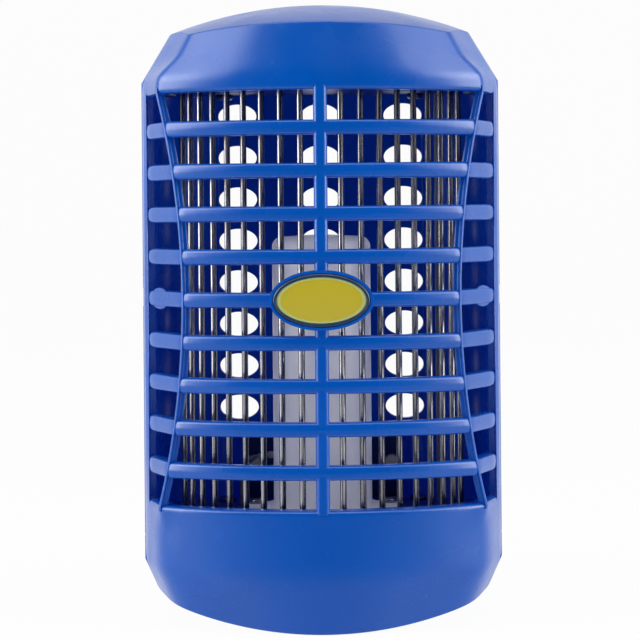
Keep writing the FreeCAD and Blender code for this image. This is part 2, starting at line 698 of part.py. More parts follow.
def upper_grid_plate(forms):
    """Ceiling of the killing chamber, which holds the rods' upper ends."""
    plate = plate_blank(forms, HEAD_LOW_Z, HEAD_TOP_Z)
    blind_z = HEAD_LOW_Z + ROD_END_DEPTH
    holes = rod_holes(HEAD_LOW_Z, HEAD_TOP_Z, False) + rod_holes(HEAD_LOW_Z, blind_z, True)
    holes += screw_holes(HEAD_LOW_Z, HEAD_TOP_Z)
    holes.append(upright(*RETURN_DROP, HEAD_LOW_Z, HEAD_TOP_Z, LEAD_RADIUS + LEAD_HOLE_CLEARANCE))
    return plate.cut(holes)


def revolved(points, x, y):
    """Solid of revolution about an upright axis, from (radius, z) points."""
    profile = Part.makePolygon([Vector(r, 0, z) for r, z in points + points[:1]])
    solid = Part.Face(profile).revolve(Vector(0, 0, 0), Vector(0, 0, 1), 360)
    solid.translate(Vector(x, y, 0))
    return solid


def light_tube():
    """Milky tube with a softly crowned, rounded top and a foot flange with two ears."""
    top, low = TUBE_TOP_Z, FLOOR_TOP_Z
    crown = [(0, top), (TUBE_RADIUS, top - TUBE_CROWN)]
    outer = revolved(crown + [(TUBE_RADIUS, low), (0, low)], 0, TUBE_Y)
    rim = [e for e in outer.Edges if abs(e.BoundBox.ZMin - top + TUBE_CROWN) < TUBE_CROWN / 10
           and e.BoundBox.XLength > TUBE_RADIUS]
    outer = outer.makeFillet(TUBE_EDGE_RADIUS, rim[:1])
    ear = box((-TUBE_EAR_REACH, TUBE_Y - TUBE_EAR_WIDTH / 2, low),
              (TUBE_EAR_REACH, TUBE_Y + TUBE_EAR_WIDTH / 2, low + TUBE_FLANGE_THICKNESS))
    flange = upright(0, TUBE_Y, low, low + TUBE_FLANGE_THICKNESS, TUBE_FLANGE_RADIUS)
    bore = upright(0, TUBE_Y, low, top - TUBE_CROWN - TUBE_EDGE_RADIUS, TUBE_RADIUS - TUBE_WALL)
    radius = SCREW_RADIUS + SCREW_HOLE_CLEARANCE
    holes = [upright(side * TUBE_SCREW_X, TUBE_Y, low, top, radius) for side in (-1, 1)]
    lead_hole = along_x(TUBE_Y, LAMP_LEAD_Z, -REACH / 4, 0, LAMP_LEAD_RADIUS + SCREW_HOLE_CLEARANCE)
    return outer.fuse([flange, ear]).cut([bore, lead_hole] + holes)


def led_board():
    """Upright light board that plugs into the socket below."""
    half_x, half_y = LED_BOARD_WIDTH / 2, LED_BOARD_THICKNESS / 2
    low_z = BOARD_TOP_Z + SOCKET_MARGIN
    return box((-half_x, TUBE_Y - half_y, low_z), (half_x, TUBE_Y + half_y, LED_BOARD_TOP_Z))


def leds():
    """Domed diodes on the front of the light board."""
    parts = []
    for step in range(LED_COUNT):
        z = LED_LOW_Z + step * LED_PITCH
        back_y = TUBE_Y - LED_BOARD_THICKNESS / 2
        dome_y = back_y - LED_HEIGHT + LED_RADIUS
        body = along_y(0, z, dome_y, back_y, LED_RADIUS)
        dome = Part.makeSphere(LED_RADIUS, Vector(0, dome_y, z))
        parts.append(body.fuse(dome))
    return parts


def led_socket():
    """Socket on the circuit board for the light board."""
    half_x = LED_BOARD_WIDTH / 2 + SOCKET_MARGIN
    half_y = LED_BOARD_THICKNESS / 2 + SOCKET_MARGIN
    low_y, high_y = TUBE_Y - half_y, TUBE_Y + half_y
    body = box((-half_x, low_y, BOARD_TOP_Z), (half_x, high_y, BOARD_TOP_Z + SOCKET_HEIGHT))
    slot_x = half_x - SOCKET_MARGIN + SOCKET_CLEARANCE
    slot_y = half_y - SOCKET_MARGIN + SOCKET_CLEARANCE
    low_z = BOARD_TOP_Z + SOCKET_MARGIN
    return body.cut(box((-slot_x, TUBE_Y - slot_y, low_z), (slot_x, TUBE_Y + slot_y, REACH)))


def circuit_board():
    """Board in the base, with its four screw holes."""
    half = BOARD_HALF_WIDTH
    board = box((-half, BOARD_FRONT_Y, BOARD_LOW_Z), (half, BOARD_BACK_Y, BOARD_TOP_Z))
    radius = SCREW_RADIUS + SCREW_HOLE_CLEARANCE
    return board.cut([upright(x, y, BOARD_LOW_Z, BOARD_TOP_Z, radius) for x, y in board_post_places()])


def film_capacitors():
    """Row of moulded film capacitors."""
    size_x, size_y, size_z = FILM_SIZE
    middle_y = (BOARD_FRONT_Y + BOARD_BACK_Y) / 2
    parts = []
    for step in range(FILM_COUNT):
        y = middle_y + (step - (FILM_COUNT - 1) / 2) * FILM_PITCH - size_y / 2
        x = FILM_X - size_x / 2
        body = box((x, y, BOARD_TOP_Z), (x + size_x, y + size_y, BOARD_TOP_Z + size_z))
        top = [e for e in body.Edges if e.BoundBox.ZMin > BOARD_TOP_Z]
        parts.append(body.makeFillet(FILM_EDGE, top))
    return parts


def axial(x, y, radius, length):
    """Cylindrical component lying on the board on two bent legs."""
    z = BOARD_TOP_Z + LEG_RISE + radius
    body = along_x(y, z, x - length / 2, x + length / 2, radius)
    span = length / 2 + radius
    wire = along_x(y, z, x - span, x + span, LEG_RADIUS)
    legs = [upright(x + side * span, y, BOARD_TOP_Z, z, LEG_RADIUS) for side in (-1, 1)]
    ends = [Part.makeSphere(LEG_RADIUS, Vector(x + side * span, y, z)) for side in (-1, 1)]
    return body.fuse([wire] + legs + ends)


def component_row(x, count, radius, length):
    """Axial components one behind the other."""
    middle_y = (BOARD_FRONT_Y + BOARD_BACK_Y) / 2
    rows = [middle_y + (step - (count - 1) / 2) * DIODE_PITCH for step in range(count)]
    return [axial(x, y, radius, length) for y in rows]


def smoothing_capacitor():
    """Can capacitor with a rounded top edge."""
    can = upright(CAN_X, CAN_Y, BOARD_TOP_Z, BOARD_TOP_Z + CAN_HEIGHT, CAN_RADIUS)
    rim = [e for e in can.Edges if e.BoundBox.ZMin > BOARD_TOP_Z + CAN_HEIGHT / 2]
    return can.makeFillet(CAN_EDGE, rim)


def plug_block():
    """Insulating block through the rear wall, with an inner flange."""
    half_x, half_z = PLUG_HALF_WIDTH, PLUG_HALF_HEIGHT
    body = rounded_block(half_x, half_z, PLUG_CORNER_RADIUS, FLANGE_Y, PLUG_FACE_Y, PLUG_Z)
    flange_x = half_x + FLANGE_MARGIN - PLUG_CLEARANCE
    flange_y = FLANGE_Y + FLANGE_THICKNESS
    flange = rounded_block(flange_x, half_z + WALL / 2, WALL, FLANGE_Y, flange_y, PLUG_Z)
    seat_y = PLUG_FACE_Y - SLEEVE_SEAT
    holes = []
    for side in (-1, 1):
        holes.append(along_y(side * PIN_X, PLUG_Z, FLANGE_Y, seat_y, PIN_CORE_RADIUS + ROD_CLEARANCE))
        holes.append(along_y(side * PIN_X, PLUG_Z, seat_y, PLUG_FACE_Y, SLEEVE_RADIUS + ROD_CLEARANCE))
        radius = SCREW_RADIUS + SCREW_HOLE_CLEARANCE
        holes.append(along_y(side * PLUG_SCREW_X, PLUG_Z, FLANGE_Y, flange_y, radius))
    return body.fuse(flange).cut(holes)


def plug_pin(x):
    """Round pin: thin tail inside, core through the block and the sleeve, full-width tip."""
    tip_y = PLUG_FACE_Y + PIN_LENGTH
    sleeve_y = PLUG_FACE_Y + SLEEVE_LENGTH
    tip = along_y(x, PLUG_Z, sleeve_y, tip_y, PIN_RADIUS)
    rim = [e for e in tip.Edges if e.BoundBox.YMin > sleeve_y]
    tip = tip.makeFillet(PIN_TIP_RADIUS, rim)
    core = along_y(x, PLUG_Z, FLANGE_Y, sleeve_y, PIN_CORE_RADIUS)
    tail = along_y(x, PLUG_Z, FLANGE_Y - PIN_TAIL, FLANGE_Y, PIN_TAIL_RADIUS)
    return tip.fuse([core, tail])


def pin_sleeve(x):
    """Insulating sleeve over the root of a pin."""
    low_y, high_y = PLUG_FACE_Y - SLEEVE_SEAT, PLUG_FACE_Y + SLEEVE_LENGTH
    bore = along_y(x, PLUG_Z, low_y, high_y, PIN_CORE_RADIUS + ROD_CLEARANCE)
    return along_y(x, PLUG_Z, low_y, high_y, SLEEVE_RADIUS).cut(bore)


def lead(points, radius):
    """Round wire along straight runs joined by tangent arcs as large as the runs allow."""
    corners = [Vector(*p) for p in points]
    edges, start = [], corners[0]
    for before, corner, after in zip(corners, corners[1:], corners[2:]):
        way_in, way_out = (corner - before).normalize(), (after - corner).normalize()
        turn = way_in.getAngle(way_out)
        shorter = min(before.distanceToPoint(corner), corner.distanceToPoint(after))
        cut_back = min(LEAD_ARC_SHARE * shorter, LEAD_ARC_LIMIT)
        bend = cut_back / math.tan(turn / 2)
        first, last = corner - way_in * cut_back, corner + way_out * cut_back
        centre_way = (way_out - way_in).normalize()
        rise = bend / math.cos(turn / 2) - bend
        middle = corner + centre_way * rise
        edges += [Part.makeLine(start, first), Part.Arc(first, middle, last).toShape()]
        start = last
    edges.append(Part.makeLine(start, corners[-1]))
    path = Part.Wire(edges)
    circle = Part.Circle(corners[0], corners[1] - corners[0], radius).toShape()
    return path.makePipeShell([Part.Wire([circle])], True, False)


def mains_leads():
    """Leads from the pins' tails down to the board."""
    tail_y = FLANGE_Y - PIN_TAIL
    leads = []
    for x in (-PIN_X, PIN_X):
        route = [(x, tail_y, PLUG_Z), (x, MAINS_DROP_Y, PLUG_Z), (x, MAINS_DROP_Y, BOARD_TOP_Z)]
        leads.append(lead(route, LEAD_RADIUS))
    return leads


def live_lead():
    """Lead from the board's front corner to the live busbar above it."""
    turn = math.radians((ROD_PAIRS - 0.5) * ROD_STEP_DEG)
    bar_x, bar_y = -GRID_RADIUS * math.sin(turn), GRID_Y - GRID_RADIUS * math.cos(turn)
    start = (-BOARD_HALF_WIDTH + LEAD_MARGIN, BOARD_FRONT_Y + LIVE_LEAD_SETBACK, BOARD_TOP_Z)
    middle_z = (BOARD_TOP_Z + FLOOR_LOW_Z) / 2
    route = [start, (start[0], start[1], middle_z), (bar_x, bar_y, middle_z)]
    return lead(route + [(bar_x, bar_y, FLOOR_LOW_Z - BUSBAR_THICKNESS)], LEAD_RADIUS)


def return_lead():
    """Lead from the board up the rear corner to the return busbar on the upper plate."""
    turn = math.radians((ROD_PAIRS - 0.5) * ROD_STEP_DEG)
    bar_x, bar_y = GRID_RADIUS * math.sin(turn), GRID_Y - GRID_RADIUS * math.cos(turn)
    x, y = RETURN_DROP
    top_z = HEAD_TOP_Z + RETURN_LEAD_RISE
    foot_x = BOARD_HALF_WIDTH - LEAD_MARGIN
    low_z = (BOARD_TOP_Z + FLOOR_LOW_Z) / 2
    foot_y = (BOARD_FRONT_Y + BOARD_BACK_Y) / 2
    route = [(foot_x, foot_y, BOARD_TOP_Z), (foot_x, foot_y, low_z), (x, y, low_z), (x, y, top_z)]
    return lead(route + [(bar_x, bar_y, top_z), (bar_x, bar_y, HEAD_TOP_Z + BUSBAR_THICKNESS)], LEAD_RADIUS)


def lamp_lead():
    """Thin lead that rises beside the light tube and enters its side, with a ferrule at its end."""
    x, y = LAMP_DROP
    end_x = -TUBE_RADIUS - FERRULE_LENGTH
    route = [(x, y, BOARD_TOP_Z), (x, y, LAMP_LEAD_RISE_Z), (end_x - LAMP_LEAD_TAIL, TUBE_Y, LAMP_LEAD_Z)]
    wire = lead(route + [(end_x, TUBE_Y, LAMP_LEAD_Z)], LAMP_LEAD_RADIUS)
    ferrule = along_x(TUBE_Y, LAMP_LEAD_Z, end_x, -TUBE_RADIUS, FERRULE_RADIUS)
    return wire.fuse(ferrule)


def save(name, *shapes):
    """Writes one node's solids to parts/NAME.step, moved to the row frame."""
    solids = [solid for shape in shapes for solid in shape.Solids]
    compound = solids[0] if len(solids) == 1 else Part.makeCompound(solids)
    compound.translate(Vector(0, -PLUG_FACE_Y, -PLUG_Z))
    compound.exportStep(os.path.join("parts", name + ".step"))
    state = "ok" if all(solid.isValid() for solid in solids) else "not valid"
    volume = round(sum(solid.Volume for solid in solids), 1)
    print(name, len(solids), "solids", volume, "mm3", state)


def main():
    """Builds every node."""
    os.makedirs("parts", exist_ok=True)
    skins = (0, SIDE_RIB_RECESS, LIP_SKIN, LIP_SKIN + LIP_CLEARANCE, WALL, WALL + PLATE_GAP, GRILLE_DEPTH)
    forms = {skin: housing_form(skin) for skin in skins}
    down, up, back = Vector(0, 0, -1), Vector(0, 0, 1), Vector(0, 1, 0)
    save("front_cover", front_cover(forms))
    save("badge_bezel", badge_bezel())
    save("badge_plate", badge_plate())
    save("back_shell", back_shell(forms))
    save("lower_grid_plate", lower_grid_plate(forms))
    save("upper_grid_plate", upper_grid_plate(forms))
    save("live_rods", *rods(True))
    save("return_rods", *rods(False))
    save("live_busbar", busbar(FLOOR_LOW_Z - BUSBAR_THICKNESS, True))
    save("return_busbar", busbar(HEAD_TOP_Z, False))
    places = ledge_screw_places()
    plate_screws = [screw(x, y, FLOOR_TOP_Z, down) for x, y in places]
    plate_screws += [screw(x, y, HEAD_LOW_Z, up) for x, y in places]
    save("grid_plate_screws", *plate_screws)
    save("light_tube", light_tube())
    tube_seat_z = FLOOR_TOP_Z + TUBE_FLANGE_THICKNESS
    save("tube_screws", *[screw(side * TUBE_SCREW_X, TUBE_Y, tube_seat_z, down) for side in (-1, 1)])
    save("led_board", led_board())
    save("leds", *leds())
    save("led_socket", led_socket())
    save("circuit_board", circuit_board())
    save("board_screws", *[screw(x, y, BOARD_TOP_Z, down) for x, y in board_post_places()])
    save("film_capacitors", *film_capacitors())
    save("diodes", *component_row(DIODE_X, DIODE_COUNT, DIODE_RADIUS, DIODE_LENGTH))
    save("resistors", *component_row(RESISTOR_X, RESISTOR_COUNT, RESISTOR_RADIUS, RESISTOR_LENGTH))
    save("smoothing_capacitor", smoothing_capacitor())
    save("fuse", axial(FUSE_X, FUSE_Y, FUSE_RADIUS, FUSE_LENGTH))
    save("plug_block", plug_block())
    save("plug_pins", plug_pin(-PIN_X), plug_pin(PIN_X))
    save("pin_sleeves", pin_sleeve(-PIN_X), pin_sleeve(PIN_X))
    save("plug_screws", *[screw(side * PLUG_SCREW_X, FLANGE_Y, PLUG_Z, back) for side in (-1, 1)])
    save("mains_leads", *mains_leads())
    save("live_lead", live_lead())
    save("return_lead", return_lead())
    save("lamp_lead", lamp_lead())


main()
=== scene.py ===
import math

import bmesh
import bpy
import numpy as np
from bpy.props import FloatProperty, FloatVectorProperty, PointerProperty
from bpy.types import Operator, Panel, PropertyGroup
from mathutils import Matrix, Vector


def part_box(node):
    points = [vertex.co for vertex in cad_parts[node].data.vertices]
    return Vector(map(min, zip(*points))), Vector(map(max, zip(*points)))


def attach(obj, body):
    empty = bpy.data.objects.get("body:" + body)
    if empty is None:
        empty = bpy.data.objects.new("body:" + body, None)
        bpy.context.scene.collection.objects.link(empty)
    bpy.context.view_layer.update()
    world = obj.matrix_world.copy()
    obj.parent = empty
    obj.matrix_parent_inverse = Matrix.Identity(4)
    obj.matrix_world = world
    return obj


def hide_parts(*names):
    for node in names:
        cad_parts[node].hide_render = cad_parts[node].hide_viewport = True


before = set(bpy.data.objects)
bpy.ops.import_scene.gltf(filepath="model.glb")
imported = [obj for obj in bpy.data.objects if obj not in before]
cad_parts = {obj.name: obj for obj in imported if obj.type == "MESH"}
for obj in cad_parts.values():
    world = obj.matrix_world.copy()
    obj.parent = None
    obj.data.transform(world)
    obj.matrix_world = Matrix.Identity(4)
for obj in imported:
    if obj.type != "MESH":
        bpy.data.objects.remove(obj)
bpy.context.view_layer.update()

bl_info = {
    "name": "Plug-in insect zapper",
    "version": (1, 0, 0),
    "blender": (4, 5, 0),
    "location": "3D View > Sidebar > Zapper",
    "description": "Dresses the packed solids of a plug-in insect zapper and lights them",
    "category": "Object",
}

MM = 0.001

# The design's own axes: x to the right, y back from the middle of the front face, z up from the
# lowest point. The badge's pad stands in front of the face, and ORIGIN is that frame's origin in
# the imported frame.
BADGE_RISE = 1.5 * MM
COVER_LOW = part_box("front_cover")[0]
ORIGIN = np.array([0.0, COVER_LOW.y + BADGE_RISE, COVER_LOW.z])

# Housing form
HALF_WIDTH = 41.0 * MM
MIDDLE_Y = 31.0 * MM
WALL = 2.2 * MM
FRONT_RADIUS = 70.0 * MM
POST_X = 40.2 * MM
POST_Y = 24.5 * MM
SIDE_Y = 30.0 * MM
COVER_REAR_Y = 27.7 * MM
CREASE_X = 36.1 * MM
WAIST_X = 30.5 * MM
SHOULDER_Z = 122.0 * MM
SHOULDER_TAPER = 0.6
FOOT_Z = 13.0 * MM
FOOT_TAPER = 0.45
FRONT_SHARE = 0.45
TOP_Z = 139.5 * MM
CROWN_RADIUS = 93.0 * MM
DOME_RADIUS = 70.0 * MM
KEEL_RADIUS = 105.0 * MM
TAPER_BLEND = 0.8 * MM  # height over which a taper sets in
CAP_CREASE_PULL = 2.4 * MM  # how far the creases swing in above the shoulder
CAP_CREASE_RISE = 5.5 * MM

# Grille
WINDOW_LOW_Z = 27.3 * MM
WINDOW_HIGH_Z = 118.8 * MM
WINDOW_MIDDLE_Z = (WINDOW_LOW_Z + WINDOW_HIGH_Z) / 2
WINDOW_HALF_WIDTH = 39.2 * MM
BAR_COUNT = 9
BAR_PITCH = 9.39 * MM
GRILLE_DEPTH = 3.6 * MM
RIM_HEIGHT = 1.4 * MM
RIM_SETBACK = 1.1 * MM  # of the window's rims behind the face
BAR_END = 3.6 * MM  # length over which a bar's end is rounded
BAR_TIP = 0.97  # share of that length at which the tip is cut off
BAR_PROUD = 0.15 * MM  # how far a bar's end stands before the post

# A bar's section, corner by corner: depth behind the face as a share of the bar's depth, and
# height above its middle as a share of its height
BAR_SECTION = (
    (0.0, -0.36), (-0.05, 0.0), (0.0, 0.36), (0.14, 0.5), (1.0, 0.46), (1.0, -0.46), (0.14, -0.5))

# Ribs and lugs
RIB_OVERRUN = 1.0 * MM
CENTRE_RIB_HALF = 1.5 * MM
CENTRE_RIB_FACE = 0.62  # flat share of its front, between the bevels
CENTRE_RIB_BEVEL = 0.5 * MM
CENTRE_RIB_PROUD = 0.08 * MM
SIDE_RIB_WIDTH = 1.6 * MM
SIDE_RIB_BEVEL = 0.35 * MM
SIDE_RIB_PROUD = 0.1 * MM
SIDE_RIB_STEP = 0.25 * MM  # inwards from the front edge, where the rib's inner wall starts
SIDE_RIB_STEP_DEPTH = 0.9 * MM
SIDE_RIB_WALL_DEPTH = 1.6 * MM
LUG_RADIUS = 2.4 * MM
LUG_X = 36.3 * MM
LUG_RINGS = (0.0, 0.7, 0.93, 1.0, 1.0)  # radii of its rings, as shares
LUG_DEPTHS = (0.35, 0.35, 0.45, 0.8, 3.2)  # of its rings behind the facet, in millimetres

# Badge
BADGE_HALF_WIDTH = 9.75 * MM
BADGE_HALF_HEIGHT = 5.0 * MM
BEZEL_WIDTH = 0.75 * MM
BADGE_CLEARANCE = 0.1 * MM
PAD_RIM = 0.7 * MM
PAD_BACK_Y = 1.3 * MM
PAD_SHEET = 1.0 * MM
RING_CREST = 0.1 * MM  # how far the ring stands before its inner edge
BADGE_DEPTH = 1.1 * MM
PLATE_SINK = 0.25 * MM
PLATE_CROWN = 0.3 * MM
PLATE_RINGS = 16
PLATE_EDGE_SHARES = (0.97, 0.99)  # of its reach, where the last two rings of its face stand
PLATE_EDGE_SINKS = (0.24 * MM, 0.32 * MM)  # of the face's last ring and of the edge
BORDER_BLUR = 0.015  # half-width of the border's inner edge, as a share of the oval

# Shares of the half outline, from the middle of the front to the parting plane, at which it
# passes the crease, the window's edge and the post's corner
CREASE_SHARE = 0.63
WINDOW_SHARE = 0.80
POST_SHARE = 0.93
BAR_OVERRUN_SHARE = 0.075  # of a bar beyond the window's edge

# Steps over which lines of points are rounded
FOOT_SOFTNESS = 8.0  # below the window, where the creases fade out
FOOT_FADE = 5.0 * MM
BAR_SOFTNESS = 1.2
BAR_ROUNDING = 1.6
RIM_BAR_ROUNDING = 0.6
CENTRE_RIB_ROUNDING = 1.0
SIDE_RIB_ROUNDING = 0.9
PAD_ROUNDING = 0.8
RING_ROUNDING = 1.0

# Grid densities
COVER_COLUMNS = 100  # of half the cover
UNDERSIDE_ROWS = 28
FOOT_ROWS = 40
WINDOW_ROWS = 40
CAP_ROWS = 30
DOME_ROWS = 34
BAR_STEPS = 120
RIB_STEPS = 110
SECTION_POINTS = 40
OVAL_STEPS = 128
RIM_STEPS = 6
EDGE_GATHER = 1.6  # power by which rows gather at an edge
EDGE_PASSES = 30
MERGE_DISTANCE = 0.004 * MM

# Values of a noise between which a colour or a number drifts from its low end to its high end
NOISE_LOW = 0.3
NOISE_HIGH = 0.7
FINE_DETAIL = 3.0  # octaves of a fine noise

# Plastic's gloss
FACING_GLOSS = 0.05
SLANTED_GLOSS = 0.5
FULL_GLOSS_SLANT = 0.12
EXPORTED_GLOSS = 0.3  # stands in where a shader can't follow the slant

# Studio
FLOOR_RADIUS = 1.4
FLOOR_TURN = 0.5
FLOOR_STEPS = 24
FLOOR_COLUMNS = 96
FLOOR_WHITE = 0.96  # share of plain white where the floor is seen directly
FLAG_HALF_WIDTH = 0.8
FLAG_HEIGHT = 1.1
FLAG_Y = -1.0
LAMP_TARGET = (0.0, -0.035, 0.04)
SOFT_BOXES = (  # name, place, size, share of the lamp power, mirrored only
    ("left_box", (-0.75, -0.28, 0.22), 0.5, 1.3, False),
    ("right_box", (0.75, -0.28, 0.22), 0.5, 1.2, False),
    ("top_box", (0.0, -0.35, 0.75), 0.55, 0.55, False),
    ("left_sheen", (-0.6, -0.42, 0.5), 0.5, 0.85, True),
    ("right_sheen", (0.6, -0.42, 0.5), 0.5, 0.65, True),
)
CAMERA_PLACE = (-0.00017, -0.55, 0.0596)


def straight(low, high, count):
    """Rows of even steps from one array to another: low plus a share of the difference."""
    share = np.linspace(0, 1, count).reshape(-1, *[1] * np.ndim(low))
    return low + (high - low) * share


def soften(points, reach, closed=False):
    """Rounds the corners of lines of points. Each point becomes the mean of its neighbours along
    the first axis, weighted by exp(-(steps / reach) squared). The ends of an open line stay."""
    count = len(points)
    steps = np.abs(np.arange(count)[:, None] - np.arange(count)[None, :])
    if closed:
        steps = np.minimum(steps, count - steps)
    weights = np.exp(-((steps / reach) ** 2))
    if not closed:
        weights[[0, -1]] = 0
        weights[0, 0] = weights[-1, -1] = 1
    weights /= weights.sum(axis=1, keepdims=True)
    return np.tensordot(weights, points, axes=1)


def inset_at(z):
    """Draw-in of the outline at a height: the taper times the height h beyond the shoulder or the
    foot, with h as a softened ramp, half of h plus the root of h squared plus blend squared."""
    above, below = z - SHOULDER_Z, FOOT_Z - z
    ramp = [(h + np.sqrt(h**2 + TAPER_BLEND**2)) / 2 for h in (above, below)]
    return SHOULDER_TAPER * ramp[0] + FOOT_TAPER * ramp[1]


def crease_at(z):
    """Half-distance between the side creases: a parabola in height inside the window, from the
    waist to the full distance, and a smooth step inwards above the shoulder."""
    step = (z - WINDOW_MIDDLE_Z) / (WINDOW_HIGH_Z - WINDOW_MIDDLE_Z)
    bowed = WAIST_X + (CREASE_X - WAIST_X) * np.minimum(step**2, 1)
    rise = np.clip((z - SHOULDER_Z) / CAP_CREASE_RISE, 0, 1)
    return bowed - CAP_CREASE_PULL * rise**2 * (3 - 2 * rise)


def plan_corners(crease, skin):
    """Corners of the right half of the outline, seen from above and offset inwards by a skin.
    A corner moves by the skin times the sum of its two sides' inward normals, divided by one plus
    their product, which is where the two offset sides meet."""
    crease_y = FRONT_RADIUS - np.sqrt(FRONT_RADIUS**2 - crease**2)
    turn = np.arcsin(crease / FRONT_RADIUS)
    front_normal = np.stack([-np.sin(turn), np.cos(turn)])
    facet = np.stack([POST_X - crease, POST_Y - crease_y])
    facet_normal = np.stack([-facet[1], facet[0]]) / np.hypot(*facet)
    side = np.array([HALF_WIDTH - POST_X, SIDE_Y - POST_Y])
    side_normal = np.array([-side[1], side[0]]) / np.hypot(*side)
    side_normal = side_normal.reshape(2, *[1] * np.ndim(crease))

    def corner(x, y, first, second):
        push = skin / (1 + (first * second).sum(axis=0))
        return x + push * (first[0] + second[0]), y + push * (first[1] + second[1])

    crease_x, _ = corner(crease, crease_y, front_normal, facet_normal)
    radius = FRONT_RADIUS - skin
    crease_y = FRONT_RADIUS - np.sqrt(radius**2 - crease_x**2)
    post_x, post_y = corner(POST_X, POST_Y, facet_normal, side_normal)
    return crease_x, crease_y, post_x, post_y, side[0] / side[1]


def on_housing(share, z, skin=0.0):
    """Point of the housing's side wall. share runs along half the outline, negative to the left:
    an arc to the crease, a straight facet to the post with a stop at the window's edge, and a
    straight run to the parting plane. Each stretch adds its own share of its own step. The result
    is drawn in towards the axis as the taper asks."""
    share, z, skin = np.broadcast_arrays(share, z, skin)
    inset = inset_at(z)
    scale_x = 1 - inset / HALF_WIDTH
    scale_y = 1 - FRONT_SHARE * inset / MIDDLE_Y
    crease_x, crease_y, post_x, post_y, lean = plan_corners(crease_at(z), skin)
    end_y = MIDDLE_Y + (COVER_REAR_Y - MIDDLE_Y) / scale_y
    end_x = post_x + lean * (end_y - post_y)
    window_run = np.clip((WINDOW_HALF_WIDTH - crease_x) / (post_x - crease_x), 0, 1)
    stops = [0, CREASE_SHARE, WINDOW_SHARE, POST_SHARE, 1]
    along = [np.clip((np.abs(share) - a) / (b - a), 0, 1) for a, b in zip(stops, stops[1:])]
    radius = FRONT_RADIUS - skin
    turn = along[0] * np.arcsin(crease_x / radius)
    facet_run = along[1] * window_run + along[2] * (1 - window_run)
    x = radius * np.sin(turn) + facet_run * (post_x - crease_x) + along[3] * (end_x - post_x)
    y = FRONT_RADIUS - radius * np.cos(turn) + facet_run * (post_y - crease_y)
    y = y + along[3] * (end_y - post_y)
    return np.stack([np.sign(share) * x * scale_x, MIDDLE_Y + (y - MIDDLE_Y) * scale_y, z], axis=-1)


def dome_z(x, y, skin):
    """Height of the domed top. Seen from the front its crown drops as an arc, by the crown radius
    less the root of its square less x squared. Seen from the side it is an arc too, whose radius
    shrinks by that drop."""
    crown = CROWN_RADIUS - skin
    drop = crown - np.sqrt(crown**2 - x**2)
    return TOP_Z - DOME_RADIUS + np.sqrt((DOME_RADIUS - skin - drop) ** 2 - (y - MIDDLE_Y) ** 2)


def keel_z(x, y, skin):
    """Height of the underside, an arc seen from the front: the keel radius less the root of its
    square less x squared."""
    return KEEL_RADIUS - np.sqrt((KEEL_RADIUS - skin) ** 2 - x**2)


def edge_heights(shares, start, surface, skin):
    """Height at which the wall meets the dome or the keel, found by putting the wall's place at
    the last height into the surface again and again."""
    heights = np.full_like(shares, start)
    for _ in range(EDGE_PASSES):
        wall = on_housing(shares, heights, skin)
        heights = surface(wall[..., 0], wall[..., 1], skin)
    return heights


def window_sag(x):
    """How far a window edge or a bar's edge swings outwards at a distance from the middle."""
    sizes = bpy.context.scene.zapper_sizes
    full = (sizes.bar_end_height - sizes.bar_height) / 2
    return full * np.minimum((x / WINDOW_HALF_WIDTH) ** 2, 1)


def gathered(count):
    """Shares from nothing to one that stand closer near nothing, so that an edge stays crisp."""
    return np.linspace(0, 1, count) ** EDGE_GATHER


def rim_steps():
    """Distances from a rim at which rows stand, so that they are even round its rounding: the
    radius times one less the cosine of even angles."""
    radius = bpy.context.scene.zapper_sizes.rim_rounding
    return radius * (1 - np.cos(np.linspace(0, math.pi / 2, RIM_STEPS + 1)))


def window_rows():
    """First and last row of the window in the cover's grid."""
    first = UNDERSIDE_ROWS + FOOT_ROWS + RIM_STEPS - 2
    return first, first + WINDOW_ROWS + 2 * RIM_STEPS - 1


def cover_skin(skin, softness):
    """Grid over the cover's whole outside, or its inside at a skin's depth: from the parting plane
    forward along the underside, up the wall, and back along the dome. Rows run across, and stand
    close on both sides of the window's edges."""
    shares = np.linspace(-1, 1, 2 * COVER_COLUMNS + 1)
    foot = edge_heights(shares, 0.0, keel_z, skin)
    cap = edge_heights(shares, TOP_Z, dome_z, skin)
    sag = window_sag(on_housing(shares, WINDOW_LOW_Z)[:, 0])
    low, high = WINDOW_LOW_Z + sag, WINDOW_HIGH_Z - sag
    near = rim_steps()[:, None]
    heights = [
        foot + (low - near[-1] - foot) * gathered(FOOT_ROWS)[:, None],
        low - near[-2::-1],
        low + near[1:],
        straight(low + near[-1], high - near[-1], WINDOW_ROWS)[1:],
        high - near[-2::-1],
        high + near[1:],
        (cap + (high + near[-1] - cap) * gathered(CAP_ROWS)[::-1, None])[1:],
    ]
    wall = on_housing(shares, np.vstack(heights), skin)

    def back_along(edge, surface, rows):
        x = np.broadcast_to(edge[:, 0], (rows, len(edge)))
        y = edge[:, 1] + (COVER_REAR_Y - edge[:, 1]) * gathered(rows)[:, None]
        return np.stack([x, y, surface(x, y, skin)], axis=-1)

    underside = back_along(wall[0], keel_z, UNDERSIDE_ROWS)[:0:-1]
    dome = back_along(wall[-1], dome_z, DOME_ROWS)[1:]
    grid = np.concatenate([underside, wall, dome])
    across = soften(grid.swapaxes(0, 1), softness).swapaxes(0, 1)
    creaseless = soften(grid.swapaxes(0, 1), FOOT_SOFTNESS).swapaxes(0, 1)
    below = np.clip((WINDOW_LOW_Z - grid[..., 2:]) / FOOT_FADE, 0, 1)
    below = below**2 * (3 - 2 * below)
    return soften(across + (creaseless - across) * below, softness)


